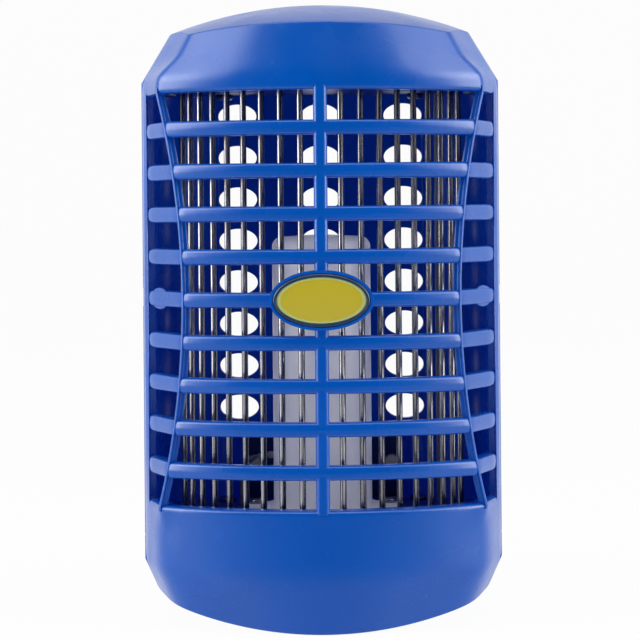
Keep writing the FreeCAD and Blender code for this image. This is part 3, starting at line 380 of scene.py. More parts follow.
def beyond(grid, axis, first, last):
    """Distance travelled along grid lines beyond a first or a last one, nothing between the two."""
    steps = np.linalg.norm(np.diff(grid, axis=axis), axis=-1)
    start = [(1, 0) if n == axis else (0, 0) for n in (0, 1)]
    travelled = np.cumsum(np.pad(steps, start), axis=axis)
    before = np.take(travelled, [first], axis) - travelled
    after = travelled - np.take(travelled, [last], axis)
    return np.maximum(0, np.maximum(before, after))


def rounded_cover(softness, columns):
    """The cover's outside with the window's rim rounded. Near the rim the surface sinks towards
    its own copy one radius down, by one less the root of one less the square of one less the
    distance from the rim over the radius, which is a quarter circle."""
    radius = bpy.context.scene.zapper_sizes.rim_rounding
    face, sunk = (cover_skin(skin, softness) for skin in (0.0, radius))
    away = np.hypot(beyond(face, 0, *window_rows()), beyond(face, 1, *columns))
    near = np.clip(1 - away / radius, 0, 1)
    return face + (sunk - face) * (1 - np.sqrt(1 - near**2))[..., None]


def sheet_faces(kept):
    """Faces of a grid's two skins and of the rim between them. kept says which cells exist. A rim
    face stands wherever a kept cell borders on none."""
    rows, columns = kept.shape[0] + 1, kept.shape[1] + 1
    near = np.arange(rows * columns).reshape(rows, columns)
    far = near + rows * columns
    cells = np.stack([near[:-1, :-1], near[:-1, 1:], near[1:, 1:], near[1:, :-1]], axis=-1)[kept]
    ringed = np.pad(kept, 1)
    level = ringed[:-1, 1:-1] != ringed[1:, 1:-1]
    upright = ringed[1:-1, :-1] != ringed[1:-1, 1:]
    level_rim = np.stack([near[:, :-1], near[:, 1:], far[:, 1:], far[:, :-1]], axis=-1)[level]
    upright_rim = np.stack([near[:-1], near[1:], far[1:], far[:-1]], axis=-1)[upright]
    return np.concatenate([cells, cells[:, ::-1] + rows * columns, level_rim, upright_rim])


def tube_faces(rows, columns, wrap_rows=False):
    """Faces of a grid whose rows are closed rings. The first and last rings get an end face each,
    unless the rows close up too."""
    index = np.arange(rows * columns).reshape(rows, columns)
    after = np.roll(index, -1, axis=1)
    if wrap_rows:
        index, after = np.vstack([index, index[:1]]), np.vstack([after, after[:1]])
    quads = np.stack([index[:-1], after[:-1], after[1:], index[1:]], axis=-1)
    ends = [] if wrap_rows else [index[0].tolist(), index[-1].tolist()]
    return quads.reshape(-1, 4).tolist() + ends


def used_only(points, faces):
    """The points that faces use, and the faces with those points' new numbers."""
    used, renumbered = np.unique(faces, return_inverse=True)
    return points.reshape(-1, 3)[used], renumbered.reshape(faces.shape)


def piece(name, points, faces, material, body, node, sharp=math.radians(40)):
    """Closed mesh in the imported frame, its faces outward, riding on a body in place of a node."""
    mesh = bpy.data.meshes.new(name)
    mesh.from_pydata(points.reshape(-1, 3) + ORIGIN, [], faces)
    shape = bmesh.new()
    shape.from_mesh(mesh)
    bmesh.ops.remove_doubles(shape, verts=shape.verts, dist=MERGE_DISTANCE)
    bmesh.ops.recalc_face_normals(shape, faces=shape.faces)
    shape.to_mesh(mesh)
    shape.free()
    return dress(bpy.data.objects.new(name, mesh), material, body, node, sharp)


def dress(made, material, body, node, sharp):
    """Links a piece, smooths its shading up to an angle, gives it its material, and ties it to its
    body and node.
    """
    bpy.context.scene.collection.objects.link(made)
    made.data.shade_smooth()
    made.data.set_sharp_from_angle(angle=sharp)
    made.data.materials.clear()
    made.data.materials.append(material)
    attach(made, body)
    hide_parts(node)
    return made


def smooth_copy(node, material, body, sharp=math.radians(30)):
    """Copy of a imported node's mesh with its triangles joined, so that its curves shade smoothly."""
    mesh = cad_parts[node].data.copy()
    mesh.name = node + "_smooth"
    shape = bmesh.new()
    shape.from_mesh(mesh)
    bmesh.ops.remove_doubles(shape, verts=shape.verts, dist=MERGE_DISTANCE)
    shape.to_mesh(mesh)
    shape.free()
    return dress(bpy.data.objects.new(mesh.name, mesh), material, body, node, sharp)


def section(corners, reach):
    """Closed outline through corner points, stepped evenly and with its corners rounded."""
    ring = np.array(corners + corners[:1])
    lengths = np.hypot(*np.diff(ring, axis=0).T)
    travelled = np.concatenate([[0], np.cumsum(lengths)])
    places = np.linspace(0, travelled[-1], SECTION_POINTS, endpoint=False)
    line = np.stack([np.interp(places, travelled, ring[:, i]) for i in range(2)], axis=-1)
    return soften(line, reach, closed=True)


def bar_points(z, depth, height, end_height, reach):
    """Bar that follows the housing's outline at a height. Its section, a rounded rectangle whose
    front is a little full, is carried along the outline, and its height grows towards the ends as
    the square of the distance from the middle. Each end shrinks to a fingertip by the root of one
    less the square of the share of the end's length, and stands a little proud."""
    outline = section([(back * depth, rise) for back, rise in BAR_SECTION], reach)
    shares = np.linspace(-1, 1, BAR_STEPS)[:, None] * (WINDOW_SHARE + BAR_OVERRUN_SHARE)
    skin, rise = outline[:, 0], outline[:, 1]
    spine = on_housing(shares, z, 0.0)
    travelled = np.cumsum(np.pad(np.linalg.norm(np.diff(spine[:, 0], axis=0), axis=-1), (1, 0)))
    to_end = np.minimum(travelled, travelled[-1] - travelled)[:, None]
    fingertip = np.sqrt(1 - np.clip(1 - to_end / BAR_END, 0, BAR_TIP) ** 2)
    past_crease = (np.abs(shares) - CREASE_SHARE) / (WINDOW_SHARE - CREASE_SHARE)
    proud = BAR_PROUD * np.clip(past_crease, 0, 1)
    path = on_housing(shares, z, depth / 2 + (skin - depth / 2) * fingertip - proud)
    bulge = np.minimum((path[..., 0] / WINDOW_HALF_WIDTH) ** 2, 1)
    path[..., 2] = z + rise * (height + (end_height - height) * bulge) * fingertip
    return soften(path, BAR_SOFTNESS)


def centre_rib_points():
    """Upright rib on the middle plane: its section, in x and depth, is carried straight up."""
    half, face = CENTRE_RIB_HALF, CENTRE_RIB_FACE * CENTRE_RIB_HALF
    line = section([(-half, CENTRE_RIB_BEVEL), (-face, -CENTRE_RIB_PROUD), (face, -CENTRE_RIB_PROUD),
                    (half, CENTRE_RIB_BEVEL), (half, GRILLE_DEPTH), (-half, GRILLE_DEPTH)],
                   CENTRE_RIB_ROUNDING)
    z = np.linspace(WINDOW_LOW_Z - RIB_OVERRUN, WINDOW_HIGH_Z + RIB_OVERRUN, RIB_STEPS)
    x = np.broadcast_to(line[:, 0], (RIB_STEPS, SECTION_POINTS))
    y = np.broadcast_to(line[:, 1], (RIB_STEPS, SECTION_POINTS))
    return np.stack([x, y, np.broadcast_to(z[:, None], x.shape)], axis=-1)


def side_rib_points(side, edge):
    """Upright rib along a crease, bowed in to the waist. Its section is given by the distance in
    from the crease and the depth behind the front face's arc at that place."""
    half = edge / 2
    line = section([(-half, SIDE_RIB_BEVEL), (-half, -SIDE_RIB_PROUD), (half, -SIDE_RIB_PROUD),
                    (half + SIDE_RIB_STEP, SIDE_RIB_STEP_DEPTH), (SIDE_RIB_WIDTH, SIDE_RIB_WALL_DEPTH),
                    (SIDE_RIB_WIDTH, GRILLE_DEPTH), (-half, GRILLE_DEPTH)], SIDE_RIB_ROUNDING)
    z = np.linspace(WINDOW_LOW_Z - RIB_OVERRUN, WINDOW_HIGH_Z + RIB_OVERRUN, RIB_STEPS)[:, None]
    x = crease_at(np.minimum(z, WINDOW_HIGH_Z)) - line[:, 0]
    y = FRONT_RADIUS - np.sqrt(FRONT_RADIUS**2 - x**2) + line[:, 1]
    return np.stack([side * x, y, np.broadcast_to(z, x.shape)], axis=-1)


def lug_points(side):
    """Round lug at an end of the middle bar: a circle seen from the front, carried back from just
    behind the facet's plane, with a rounded front edge."""
    around = np.linspace(0, 2 * math.pi, SECTION_POINTS, endpoint=False)
    radius = np.array(LUG_RINGS)[:, None] * LUG_RADIUS
    depth = np.array(LUG_DEPTHS)[:, None] * MM
    x = LUG_X + radius * np.cos(around)
    z = WINDOW_MIDDLE_Z + radius * np.sin(around)
    crease_x, crease_y, post_x, post_y, _ = plan_corners(np.array(WAIST_X), 0.0)
    y = crease_y + (x - crease_x) * (post_y - crease_y) / (post_x - crease_x) + depth
    return np.stack([side * x, y, z], axis=-1)


def oval_points(half_x, half_z, y):
    """Body of oval rings one behind the other: x is the half-width times the cosine and z the
    half-height times the sine of the way round."""
    around = np.linspace(0, 2 * math.pi, OVAL_STEPS, endpoint=False)
    half_x, half_z, y = (np.asarray(a, float)[:, None] for a in (half_x, half_z, y))
    z = WINDOW_MIDDLE_Z + half_z * np.sin(around)
    return np.stack([half_x * np.cos(around), np.broadcast_to(y, z.shape), z], axis=-1)


def oval_ring(corners, reach):
    """Ring round the badge: its section, in the offset from the badge's edge and depth, is
    carried round the oval."""
    line = section(corners, reach)
    return oval_points(BADGE_HALF_WIDTH + line[:, 0], BADGE_HALF_HEIGHT + line[:, 0], line[:, 1])


def shader_of(name):
    """New material with its tree and its main shader."""
    made = bpy.data.materials.new(name)
    made.use_nodes = True
    return made, made.node_tree, made.node_tree.nodes["Principled BSDF"]


def object_noise(tree, scale, detail=2.0, stretch=(1.0, 1.0, 1.0)):
    """Noise in the object's own coordinates, in features per metre."""
    where = tree.nodes.new("ShaderNodeTexCoord")
    mapping = tree.nodes.new("ShaderNodeMapping")
    mapping.inputs["Scale"].default_value = stretch
    noise = tree.nodes.new("ShaderNodeTexNoise")
    noise.inputs["Scale"].default_value = scale
    noise.inputs["Detail"].default_value = detail
    tree.links.new(where.outputs["Object"], mapping.inputs["Vector"])
    tree.links.new(mapping.outputs["Vector"], noise.inputs["Vector"])
    return noise.outputs["Fac"]


def shade(colour, factor):
    """A colour made lighter or darker, as four channels."""
    return (*[min(1.0, c * factor) for c in colour[:3]], 1.0)


def vary_colour(tree, source, target, colour, spread):
    """Colour that drifts between a darker and a lighter shade of itself."""
    ramp = tree.nodes.new("ShaderNodeValToRGB")
    ramp.color_ramp.elements[0].position = NOISE_LOW
    ramp.color_ramp.elements[0].color = shade(colour, 1 - spread)
    ramp.color_ramp.elements[1].position = NOISE_HIGH
    ramp.color_ramp.elements[1].color = shade(colour, 1 + spread)
    tree.links.new(source, ramp.inputs["Fac"])
    tree.links.new(ramp.outputs["Color"], target)


def vary_number(tree, source, target, low, high):
    """Number that drifts between two values."""
    spread = tree.nodes.new("ShaderNodeMapRange")
    spread.inputs["From Min"].default_value = NOISE_LOW
    spread.inputs["From Max"].default_value = NOISE_HIGH
    spread.inputs["To Min"].default_value = low
    spread.inputs["To Max"].default_value = high
    tree.links.new(source, spread.inputs["Value"])
    tree.links.new(spread.outputs["Result"], target)


def add_bump(tree, source, shader, strength, distance):
    """Fine relief from a height pattern."""
    bump = tree.nodes.new("ShaderNodeBump")
    bump.inputs["Strength"].default_value = strength
    bump.inputs["Distance"].default_value = distance
    tree.links.new(source, bump.inputs["Height"])
    tree.links.new(bump.outputs["Normal"], shader.inputs["Normal"])


def moulded_plastic(name, colour, roughness, spread=0.06, glow=(0.0, 0.0, 0.0)):
    """Injection-moulded plastic: a slow drift of shade and gloss, a fine orange-peel relief, and
    more gloss on a slant. The glow stands for light that has come through the plastic."""
    made, tree, shader = shader_of(name)
    drift = object_noise(tree, scale=45.0)
    patches = object_noise(tree, scale=120.0)
    peel = object_noise(tree, scale=900.0, detail=FINE_DETAIL)
    vary_colour(tree, drift, shader.inputs["Base Color"], colour, spread)
    vary_number(tree, patches, shader.inputs["Roughness"], roughness - 0.05, roughness + 0.05)
    add_bump(tree, peel, shader, strength=0.12, distance=0.08 * MM)
    slant = tree.nodes.new("ShaderNodeLayerWeight")
    gloss = tree.nodes.new("ShaderNodeMapRange")
    gloss.inputs["From Max"].default_value = FULL_GLOSS_SLANT
    gloss.inputs["To Min"].default_value = FACING_GLOSS
    gloss.inputs["To Max"].default_value = SLANTED_GLOSS
    shader.inputs["Specular IOR Level"].default_value = EXPORTED_GLOSS
    tree.links.new(slant.outputs["Facing"], gloss.inputs["Value"])
    tree.links.new(gloss.outputs["Result"], shader.inputs["Specular IOR Level"])
    shader.inputs["Emission Color"].default_value = shade(glow, 1.0)
    shader.inputs["Emission Strength"].default_value = 1.0
    return made


def drawn_metal(name, colour, roughness, along=(1.0, 1.0, 0.02)):
    """Drawn or rolled metal: fine streaks along its length in shade, gloss and relief."""
    made, tree, shader = shader_of(name)
    streaks = object_noise(tree, scale=4000.0, detail=FINE_DETAIL, stretch=along)
    vary_colour(tree, streaks, shader.inputs["Base Color"], colour, spread=0.08)
    vary_number(tree, streaks, shader.inputs["Roughness"], roughness - 0.05, roughness + 0.08)
    add_bump(tree, streaks, shader, strength=0.1, distance=0.02 * MM)
    shader.inputs["Metallic"].default_value = 1.0
    return made


def milky_plastic(name, colour):
    """Frosted light tube: white plastic that scatters light under its surface."""
    made, tree, shader = shader_of(name)
    clouds = object_noise(tree, scale=60.0)
    frost = object_noise(tree, scale=700.0)
    vary_colour(tree, clouds, shader.inputs["Base Color"], colour, spread=0.04)
    vary_number(tree, frost, shader.inputs["Roughness"], low=0.32, high=0.42)
    shader.inputs["Emission Color"].default_value = shade(colour, 1.0)
    shader.inputs["Emission Strength"].default_value = 0.12
    shader.inputs["Subsurface Weight"].default_value = 0.25
    shader.inputs["Subsurface Radius"].default_value = (3 * MM, 3 * MM, 4 * MM)
    return made


def clear_plastic(name, colour):
    """Clear cast plastic of a light-emitting diode."""
    made, tree, shader = shader_of(name)
    haze = object_noise(tree, scale=500.0)
    vary_number(tree, haze, shader.inputs["Roughness"], low=0.05, high=0.12)
    shader.inputs["Base Color"].default_value = shade(colour, 1.0)
    shader.inputs["Transmission Weight"].default_value = 0.85
    return made


def badge_paint(name, face, border, border_width):
    """Printed badge: a flat face inside a pale border that follows the oval's edge. The place in
    the oval is the root of the sum of squares of x and z, each divided by its half-size."""
    made, tree, shader = shader_of(name)
    where = tree.nodes.new("ShaderNodeTexCoord")
    centred = tree.nodes.new("ShaderNodeMapping")
    middle = WINDOW_MIDDLE_Z + float(ORIGIN[2])
    centred.inputs["Location"].default_value = (0.0, 0.0, -middle / BADGE_HALF_HEIGHT)
    centred.inputs["Scale"].default_value = (1 / BADGE_HALF_WIDTH, 0.0, 1 / BADGE_HALF_HEIGHT)
    length = tree.nodes.new("ShaderNodeVectorMath")
    length.operation = "LENGTH"
    ramp = tree.nodes.new("ShaderNodeValToRGB")
    edge = 1 - border_width / BADGE_HALF_HEIGHT
    ramp.color_ramp.elements[0].position = edge - BORDER_BLUR
    ramp.color_ramp.elements[0].color = shade(face, 1.0)
    ramp.color_ramp.elements[1].position = edge + BORDER_BLUR
    ramp.color_ramp.elements[1].color = shade(border, 1.0)
    tree.links.new(where.outputs["Object"], centred.inputs["Vector"])
    tree.links.new(centred.outputs["Vector"], length.inputs[0])
    tree.links.new(length.outputs["Value"], ramp.inputs["Fac"])
    tree.links.new(ramp.outputs["Color"], shader.inputs["Base Color"])
    patches = object_noise(tree, scale=300.0)
    vary_number(tree, patches, shader.inputs["Roughness"], low=0.3, high=0.42)
    grain = object_noise(tree, scale=2500.0, detail=FINE_DETAIL)
    add_bump(tree, grain, shader, strength=0.1, distance=0.03 * MM)
    return made


def circuit_laminate(name, colour):
    """Glass-fibre laminate under green lacquer, with a faint weave."""
    made, tree, shader = shader_of(name)
    drift = object_noise(tree, scale=200.0)
    patches = object_noise(tree, scale=400.0)
    vary_colour(tree, drift, shader.inputs["Base Color"], colour, spread=0.12)
    vary_number(tree, patches, shader.inputs["Roughness"], low=0.3, high=0.45)
    where = tree.nodes.new("ShaderNodeTexCoord")
    weave = tree.nodes.new("ShaderNodeTexChecker")
    weave.inputs["Scale"].default_value = 1200.0
    tree.links.new(where.outputs["Object"], weave.inputs["Vector"])
    add_bump(tree, weave.outputs["Fac"], shader, strength=0.15, distance=0.03 * MM)
    return made


def length_setting(name, description, default, low, high):
    """Length that a user may change."""
    return FloatProperty(name=name, description=description, default=default, min=low, max=high,
                         unit="LENGTH", precision=5)


def colour_setting(name, description, default):
    """Colour that a user may change."""
    return FloatVectorProperty(name=name, description=description, default=default, size=3,
                               subtype="COLOR", min=0.0, max=1.0)


class ZapperSizes(PropertyGroup):
    """Lengths of the cover's detail"""

    bar_height: length_setting(
        "Bar height", "Height of a grille bar at the middle", 3.6 * MM, 2 * MM, 5 * MM)
    bar_end_height: length_setting(
        "Bar end height", "Height of a grille bar at its ends", 4.2 * MM, 2 * MM, 6 * MM)
    rib_edge: length_setting(
        "Side rib edge", "Width of a side rib's front edge", 0.55 * MM, 0.4 * MM, 1.5 * MM)
    rim_rounding: length_setting(
        "Rim rounding", "Radius on the cover's window", 0.9 * MM, 0.2 * MM, 1.5 * MM)
    badge_border: length_setting(
        "Badge border", "Width of the pale line round the badge", 0.42 * MM, 0.1 * MM, 2 * MM)
    crease_softness: FloatProperty(
        name="Crease softness", description="Grid steps over which a crease is rounded",
        default=1.8, min=0.5, max=6.0)


class ZapperColours(PropertyGroup):
    """Colours of the finishes"""

    shell: colour_setting("Shell", "Blue of the cover and the back", (0.0005, 0.077, 0.365))
    shell_glow: colour_setting(
        "Shell glow", "Light that comes through the shell's plastic", (0.0, 0.001, 0.05))
    inner: colour_setting("Inner parts", "Blue of the grid plates", (0.01, 0.07, 0.4))
    badge: colour_setting("Badge", "Face of the badge", (0.46, 0.38, 0.015))
    badge_border: colour_setting("Badge border", "Pale line round the badge", (0.45, 0.52, 0.2))
    bezel: colour_setting("Badge ring", "Dark ring round the badge", (0.003, 0.025, 0.07))
    steel: colour_setting("Rods", "Steel of the rods and bars", (0.28, 0.28, 0.3))
    milky: colour_setting("Light tube", "Frosted plastic of the light tube", (0.78, 0.79, 0.88))


class StudioSettings(PropertyGroup):
    """Light and camera"""

    fill: FloatProperty(name="Surrounding light", description="Strength of the light from all sides",
                        default=0.24, min=0.0, max=2.0)
    lamp_power: FloatProperty(name="Lamp power", description="Power of each soft box",
                              default=4.2, min=0.0, max=20.0, unit="POWER")
    lens: FloatProperty(name="Lens", description="Focal length of the camera", default=124.8,
                        min=20.0, max=300.0, unit="CAMERA")
    shift: FloatProperty(name="Camera shift", description="Rise of the horizon, in picture widths",
                         default=0.1648, min=-1.0, max=1.0)
    roll: FloatProperty(name="Camera roll", description="How far the camera leans",
                        default=math.radians(0.48), subtype="ANGLE")


def shell_plastic():
    """The shell's blue plastic, made once and then shared."""
    colours = bpy.context.scene.zapper_colours
    return bpy.data.materials.get("shell_plastic") or moulded_plastic(
        "shell_plastic", colours.shell, 0.26, glow=colours.shell_glow)


class ZAPPER_OT_cover(Operator):
    """Front cover: cap, foot and posts as one moulded sheet with a window"""

    bl_idname = "zapper.cover"
    bl_label = "Front cover"

    def execute(self, context):
        sizes = context.scene.zapper_sizes
        half = round(WINDOW_SHARE * COVER_COLUMNS)
        columns = COVER_COLUMNS - half, COVER_COLUMNS + half
        outer = rounded_cover(sizes.crease_softness, columns)
        inner = cover_skin(WALL, sizes.crease_softness)
        kept = np.ones((outer.shape[0] - 1, outer.shape[1] - 1), bool)
        kept[slice(*window_rows()), slice(*columns)] = False
        points, faces = used_only(np.stack([outer, inner]), sheet_faces(kept))
        piece("cover_sheet", points, faces, shell_plastic(), "cover", "front_cover")
        return {"FINISHED"}


class ZAPPER_OT_grille(Operator):
    """Grille: nine bars, the window's two rims, three ribs and two lugs"""

    bl_idname = "zapper.grille"
    bl_label = "Grille"

    def execute(self, context):
        sizes = context.scene.zapper_sizes

        def add(name, points):
            piece(name, points, tube_faces(*points.shape[:2]), shell_plastic(), "cover",
                  "front_cover")

        for number in range(BAR_COUNT):
            z = WINDOW_MIDDLE_Z + ((BAR_COUNT - 1) / 2 - number) * BAR_PITCH
            add(f"grille_bar_{number + 1}",
                bar_points(z, GRILLE_DEPTH, sizes.bar_height, sizes.bar_end_height, BAR_ROUNDING))
        for name, edge, side in (("upper", WINDOW_HIGH_Z, 1), ("lower", WINDOW_LOW_Z, -1)):
            z = edge + side * RIM_HEIGHT / 2
            points = bar_points(z, GRILLE_DEPTH, RIM_HEIGHT, RIM_HEIGHT, RIM_BAR_ROUNDING)
            points[..., 1] += RIM_SETBACK
            points[..., 2] -= side * window_sag(points[..., 0])
            add(f"window_rim_{name}", points)
        add("centre_rib", centre_rib_points())
        for name, side in (("left", -1), ("right", 1)):
            add(f"side_rib_{name}", side_rib_points(side, sizes.rib_edge))
            add(f"lug_{name}", lug_points(side))
        return {"FINISHED"}


class ZAPPER_OT_badge(Operator):
    """Badge: the pad on the middle bar, the dark ring and the domed plate"""

    bl_idname = "zapper.badge"
    bl_label = "Badge"

    def execute(self, context):
        colours, sizes = context.scene.zapper_colours, context.scene.zapper_sizes
        front = -BADGE_RISE
        recess = BEZEL_WIDTH + BADGE_CLEARANCE
        inner, sheet_front = -BADGE_HALF_HEIGHT / 2, PAD_BACK_Y - PAD_SHEET
        pad = oval_ring([(recess, front), (recess + PAD_RIM, front), (recess + PAD_RIM, PAD_BACK_Y),
                         (inner, PAD_BACK_Y), (inner, sheet_front), (recess, sheet_front)],
                        PAD_ROUNDING)
        piece("badge_pad", pad, tube_faces(*pad.shape[:2], wrap_rows=True), shell_plastic(), "cover",
              "front_cover")
        back = front + BADGE_DEPTH
        ring = oval_ring([(BADGE_CLEARANCE, front), (BEZEL_WIDTH / 2, front - RING_CREST),
                          (BEZEL_WIDTH, front + RING_CREST), (BEZEL_WIDTH, back),
                          (BADGE_CLEARANCE, back)], RING_ROUNDING)
        bezel = moulded_plastic("badge_dark", colours.bezel, 0.25)
        piece("badge_ring", ring, tube_faces(*ring.shape[:2], wrap_rows=True), bezel, "cover",
              "badge_bezel")
        inside, edge = PLATE_EDGE_SHARES
        reach = np.concatenate([np.linspace(0, inside, PLATE_RINGS), [edge, 1.0, 1.0, 0.0]])
        dome = front + PLATE_SINK - PLATE_CROWN * (1 - reach**2)
        dome[-4:-2] = front + np.array(PLATE_EDGE_SINKS)
        dome[-2:] = back
        plate = oval_points(BADGE_HALF_WIDTH * reach, BADGE_HALF_HEIGHT * reach, dome)
        paint = badge_paint("badge_yellow", colours.badge, colours.badge_border, sizes.badge_border)
        piece("badge_face", plate, tube_faces(*plate.shape[:2]), paint, "cover",
              "badge_plate")
        return {"FINISHED"}


class ZAPPER_OT_back(Operator):
    """Back shell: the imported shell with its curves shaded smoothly"""

    bl_idname = "zapper.back"
    bl_label = "Back shell"

    def execute(self, context):
        smooth_copy("back_shell", shell_plastic(), "housing")
        return {"FINISHED"}


class ZAPPER_OT_grid(Operator):
    """Killing grid: rods, busbars, the two plates and their screws"""

    bl_idname = "zapper.grid"
    bl_label = "Killing grid"

    def execute(self, context):
        colours = context.scene.zapper_colours
        steel = drawn_metal("steel", colours.steel, 0.22)
        inner = moulded_plastic("inner_blue", colours.inner, 0.4)
        for node in ("live_rods", "return_rods"):
            smooth_copy(node, steel, "housing")
        strip = drawn_metal("strip_steel", colours.steel, 0.3, (1.0, 0.02, 1.0))
        for node in ("live_busbar", "return_busbar", "grid_plate_screws", "tube_screws",
                     "board_screws", "plug_screws"):
            smooth_copy(node, strip, "housing")
        for node in ("lower_grid_plate", "upper_grid_plate"):
            smooth_copy(node, inner, "housing")
        return {"FINISHED"}


class ZAPPER_OT_light(Operator):
    """Light: the milky tube, the light board, its diodes and its socket"""

    bl_idname = "zapper.light"
    bl_label = "Light"

    def execute(self, context):
        colours = context.scene.zapper_colours
        smooth_copy("light_tube", milky_plastic("milky", colours.milky), "housing")
        smooth_copy("leds", clear_plastic("led_clear", (0.8, 0.82, 0.9)), "housing")
        smooth_copy("led_board", circuit_laminate("light_board", (0.01, 0.12, 0.04)), "housing")
        smooth_copy("led_socket", moulded_plastic("socket_black", (0.012, 0.012, 0.014), 0.4),
                    "housing")
        return {"FINISHED"}


class ZAPPER_OT_electronics(Operator):
    """Electronics: the circuit board, what stands on it and the leads"""

    bl_idname = "zapper.electronics"
    bl_label = "Electronics"

    def execute(self, context):
        red = moulded_plastic("red_insulation", (0.4, 0.02, 0.015), 0.4)
        grey = moulded_plastic("grey_insulation", (0.25, 0.25, 0.27), 0.4)
        finishes = {
            "circuit_board": (circuit_laminate("board_green", (0.01, 0.14, 0.045)), "board_green"),
            "film_capacitors": (moulded_plastic("film_red", (0.42, 0.03, 0.015), 0.3), "film_red"),
            "diodes": (moulded_plastic("diode_black", (0.012, 0.012, 0.013), 0.35), "diode_black"),
            "resistors": (moulded_plastic("resistor_tan", (0.5, 0.34, 0.17), 0.4), "resistor_tan"),
            "smoothing_capacitor": (
                moulded_plastic("can_sleeve", (0.02, 0.03, 0.07), 0.3), "can_sleeve"),
            "fuse": (moulded_plastic("fuse_glass", (0.6, 0.6, 0.58), 0.15), "fuse_glass"),
            "mains_leads": (red, "lead_red"),
            "live_lead": (red, "lead_red"),
            "return_lead": (grey, "lead_grey"),
            "lamp_lead": (grey, "lead_grey"),
        }
        for node, (material, slot) in finishes.items():
            smooth_copy(node, material, "housing")
        return {"FINISHED"}


class ZAPPER_OT_plug(Operator):
    """Plug: the insulating block, the two pins and their sleeves"""

    bl_idname = "zapper.plug"
    bl_label = "Plug"

    def execute(self, context):
        black = moulded_plastic("black_plastic", (0.014, 0.014, 0.016), 0.38)
        # The block is drawn dark blue rather than black: painted blue light bounced from the shell's
        # inside.
        block = moulded_plastic("block_with_painted_blue_bounce", (0.004, 0.02, 0.12), 0.4)
        smooth_copy("plug_block", block, "housing")
        smooth_copy("pin_sleeves", black, "housing")
        smooth_copy("plug_pins", drawn_metal("brass", (0.75, 0.6, 0.32), 0.25, (1.0, 0.02, 1.0)),
                    "housing")
        return {"FINISHED"}


class ZAPPER_OT_stage(Operator):
    """Stage: pale floor with a turned-up edge, soft boxes, surroundings and camera"""

    bl_idname = "zapper.stage"
    bl_label = "Stage"

    def execute(self, context):
        scene = context.scene
        studio = scene.zapper_studio
        floor()
        surroundings(scene, studio.fill)
        for name, place, size, share, mirrored_only in SOFT_BOXES:
            soft_box(scene, name, place, size, studio.lamp_power * share, mirrored_only)
        dark_flag()
        camera(scene, studio)
        scene.view_settings.view_transform = "Standard"
        return {"FINISHED"}


def floor():
    """Round floor whose edge turns up: seen from the side, a level run and then a quarter arc,
    turned about the upright axis."""
    angle = np.linspace(0, math.pi / 2, FLOOR_STEPS)
    turned_up = FLOOR_RADIUS + FLOOR_TURN * np.sin(angle[1:])
    radius = np.concatenate([np.linspace(0, FLOOR_RADIUS, FLOOR_STEPS), turned_up])[:, None]
    height = np.concatenate([np.zeros(FLOOR_STEPS), FLOOR_TURN * (1 - np.cos(angle[1:]))])[:, None]
    around = np.linspace(0, 2 * math.pi, FLOOR_COLUMNS, endpoint=False)
    x, y = radius * np.cos(around), radius * np.sin(around)
    points = np.stack([x, y, np.broadcast_to(ORIGIN[2] + height, x.shape)], axis=-1)
    faces = tube_faces(*points.shape[:2])[:-1]
    mesh = bpy.data.meshes.new("floor")
    mesh.from_pydata(points.reshape(-1, 3), [], faces)
    mesh.shade_smooth()
    made = bpy.data.objects.new("floor", mesh)
    mesh.materials.append(pale_floor())
    bpy.context.scene.collection.objects.link(made)


def dark_flag():
    """Dark sheet behind the camera, so that the front doesn't mirror the white surroundings."""
    corners = [(x, FLAG_Y, z) for x, z in (
        (-FLAG_HALF_WIDTH, 0.0), (FLAG_HALF_WIDTH, 0.0),
        (FLAG_HALF_WIDTH, FLAG_HEIGHT), (-FLAG_HALF_WIDTH, FLAG_HEIGHT))]
    mesh = bpy.data.meshes.new("dark_flag")
    mesh.from_pydata(corners, [], [(0, 1, 2, 3)])
    made = bpy.data.objects.new("dark_flag", mesh)
    mesh.materials.append(moulded_plastic("flag_cloth", (0.02, 0.02, 0.022), 0.9))
    made.visible_camera = False
    bpy.context.scene.collection.objects.link(made)


def seen_directly(tree):
    """One for camera, glossy and transmission rays, which see the white surroundings."""
    rays = tree.nodes.new("ShaderNodeLightPath")
    total = rays.outputs["Is Camera Ray"]
    for name in ("Is Glossy Ray", "Is Transmission Ray"):
        larger = tree.nodes.new("ShaderNodeMath")
        larger.operation = "MAXIMUM"
        tree.links.new(total, larger.inputs[0])
        tree.links.new(rays.outputs[name], larger.inputs[1])
        total = larger.outputs["Value"]
    return total


def pale_floor():
    """White floor that keeps a soft shadow: where it is seen directly, most of it is plain white."""
    made, tree, shader = shader_of("pale_floor")
    drift = object_noise(tree, scale=3.0)
    vary_colour(tree, drift, shader.inputs["Base Color"], (0.86, 0.86, 0.86), spread=0.01)
    shader.inputs["Roughness"].default_value = 0.9
    glow = tree.nodes.new("ShaderNodeEmission")
    glow.inputs["Strength"].default_value = 1.0
    share = tree.nodes.new("ShaderNodeMath")
    share.operation = "MULTIPLY"
    share.inputs[1].default_value = FLOOR_WHITE
    mix = tree.nodes.new("ShaderNodeMixShader")
    tree.links.new(seen_directly(tree), share.inputs[0])
    tree.links.new(share.outputs["Value"], mix.inputs["Fac"])
    tree.links.new(shader.outputs["BSDF"], mix.inputs[1])
    tree.links.new(glow.outputs["Emission"], mix.inputs[2])
    tree.links.new(mix.outputs["Shader"], tree.nodes["Material Output"].inputs["Surface"])
    return made


def surroundings(scene, fill):
    """Even light from all sides, plain white where it is seen directly."""
    world = bpy.data.worlds.new("surroundings")
    world.use_nodes = True
    scene.world = world
    tree = world.node_tree
    strength = tree.nodes.new("ShaderNodeMapRange")
    strength.inputs["To Min"].default_value = fill
    strength.inputs["To Max"].default_value = 1.0
    background = tree.nodes["Background"]
    background.inputs["Color"].default_value = (1.0, 1.0, 1.0, 1.0)
    tree.links.new(seen_directly(tree), strength.inputs["Value"])
    tree.links.new(strength.outputs["Result"], background.inputs["Strength"])


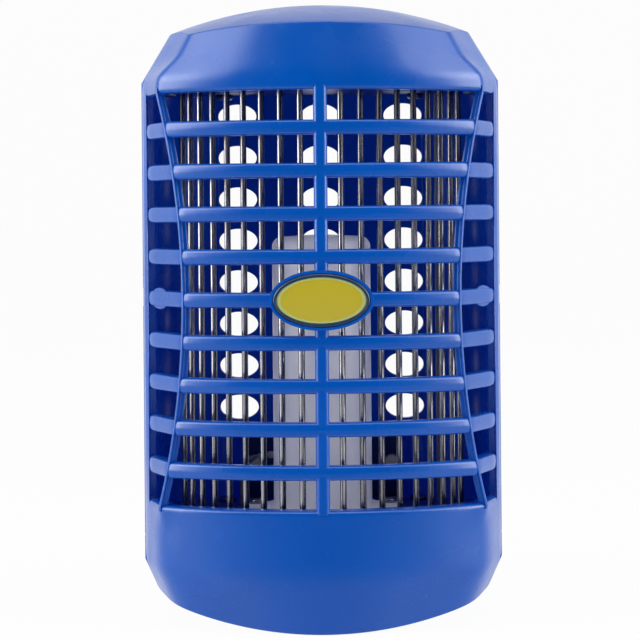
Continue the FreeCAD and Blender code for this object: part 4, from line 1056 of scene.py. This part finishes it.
def soft_box(scene, name, place, size, power, mirrored_only):
    """Square area light at a place, turned to the object. One that is mirrored only adds a sheen
    and no light of its own."""
    light = bpy.data.lights.new(name, "AREA")
    light.size = size
    light.energy = power
    made = bpy.data.objects.new(name, light)
    made.visible_diffuse = not mirrored_only
    scene.collection.objects.link(made)
    made.location = place
    away = Vector(place) - Vector(LAMP_TARGET)
    made.rotation_euler = away.to_track_quat("Z", "Y").to_euler()


def camera(scene, studio):
    """Camera before the front face, at the photograph's height and roll, looking level."""
    data = bpy.data.cameras.new("camera")
    data.lens = studio.lens
    data.shift_y = -studio.shift
    data.clip_start = 0.01
    made = bpy.data.objects.new("camera", data)
    made.location = CAMERA_PLACE
    made.rotation_euler = (math.pi / 2, studio.roll, 0.0)
    scene.collection.objects.link(made)
    scene.camera = made


class ZAPPER_PT_panel(Panel):
    """Buttons and settings of the zapper's pieces"""

    bl_label = "Insect zapper"
    bl_space_type = "VIEW_3D"
    bl_region_type = "UI"
    bl_category = "Zapper"

    def draw(self, context):
        column = self.layout.column()
        for operator in OPERATORS:
            column.operator(operator.bl_idname)
        for settings in SETTINGS:
            group = getattr(context.scene, settings)
            for name in SETTINGS[settings].__annotations__:
                column.prop(group, name)


SETTINGS = {
    "zapper_sizes": ZapperSizes,
    "zapper_colours": ZapperColours,
    "zapper_studio": StudioSettings,
}
OPERATORS = (
    ZAPPER_OT_cover,
    ZAPPER_OT_grille,
    ZAPPER_OT_badge,
    ZAPPER_OT_back,
    ZAPPER_OT_grid,
    ZAPPER_OT_light,
    ZAPPER_OT_electronics,
    ZAPPER_OT_plug,
    ZAPPER_OT_stage,
)
CLASSES = (*SETTINGS.values(), *OPERATORS, ZAPPER_PT_panel)


def register():
    for one in CLASSES:
        bpy.utils.register_class(one)
    for name, settings in SETTINGS.items():
        setattr(bpy.types.Scene, name, PointerProperty(type=settings))


def unregister():
    for name in SETTINGS:
        delattr(bpy.types.Scene, name)
    for one in reversed(CLASSES):
        bpy.utils.unregister_class(one)


def main():
    """Makes every piece in order."""
    register()
    for operator in OPERATORS:
        area, action = operator.bl_idname.split(".")
        getattr(getattr(bpy.ops, area), action)()


if __name__ == "__main__":
    main()
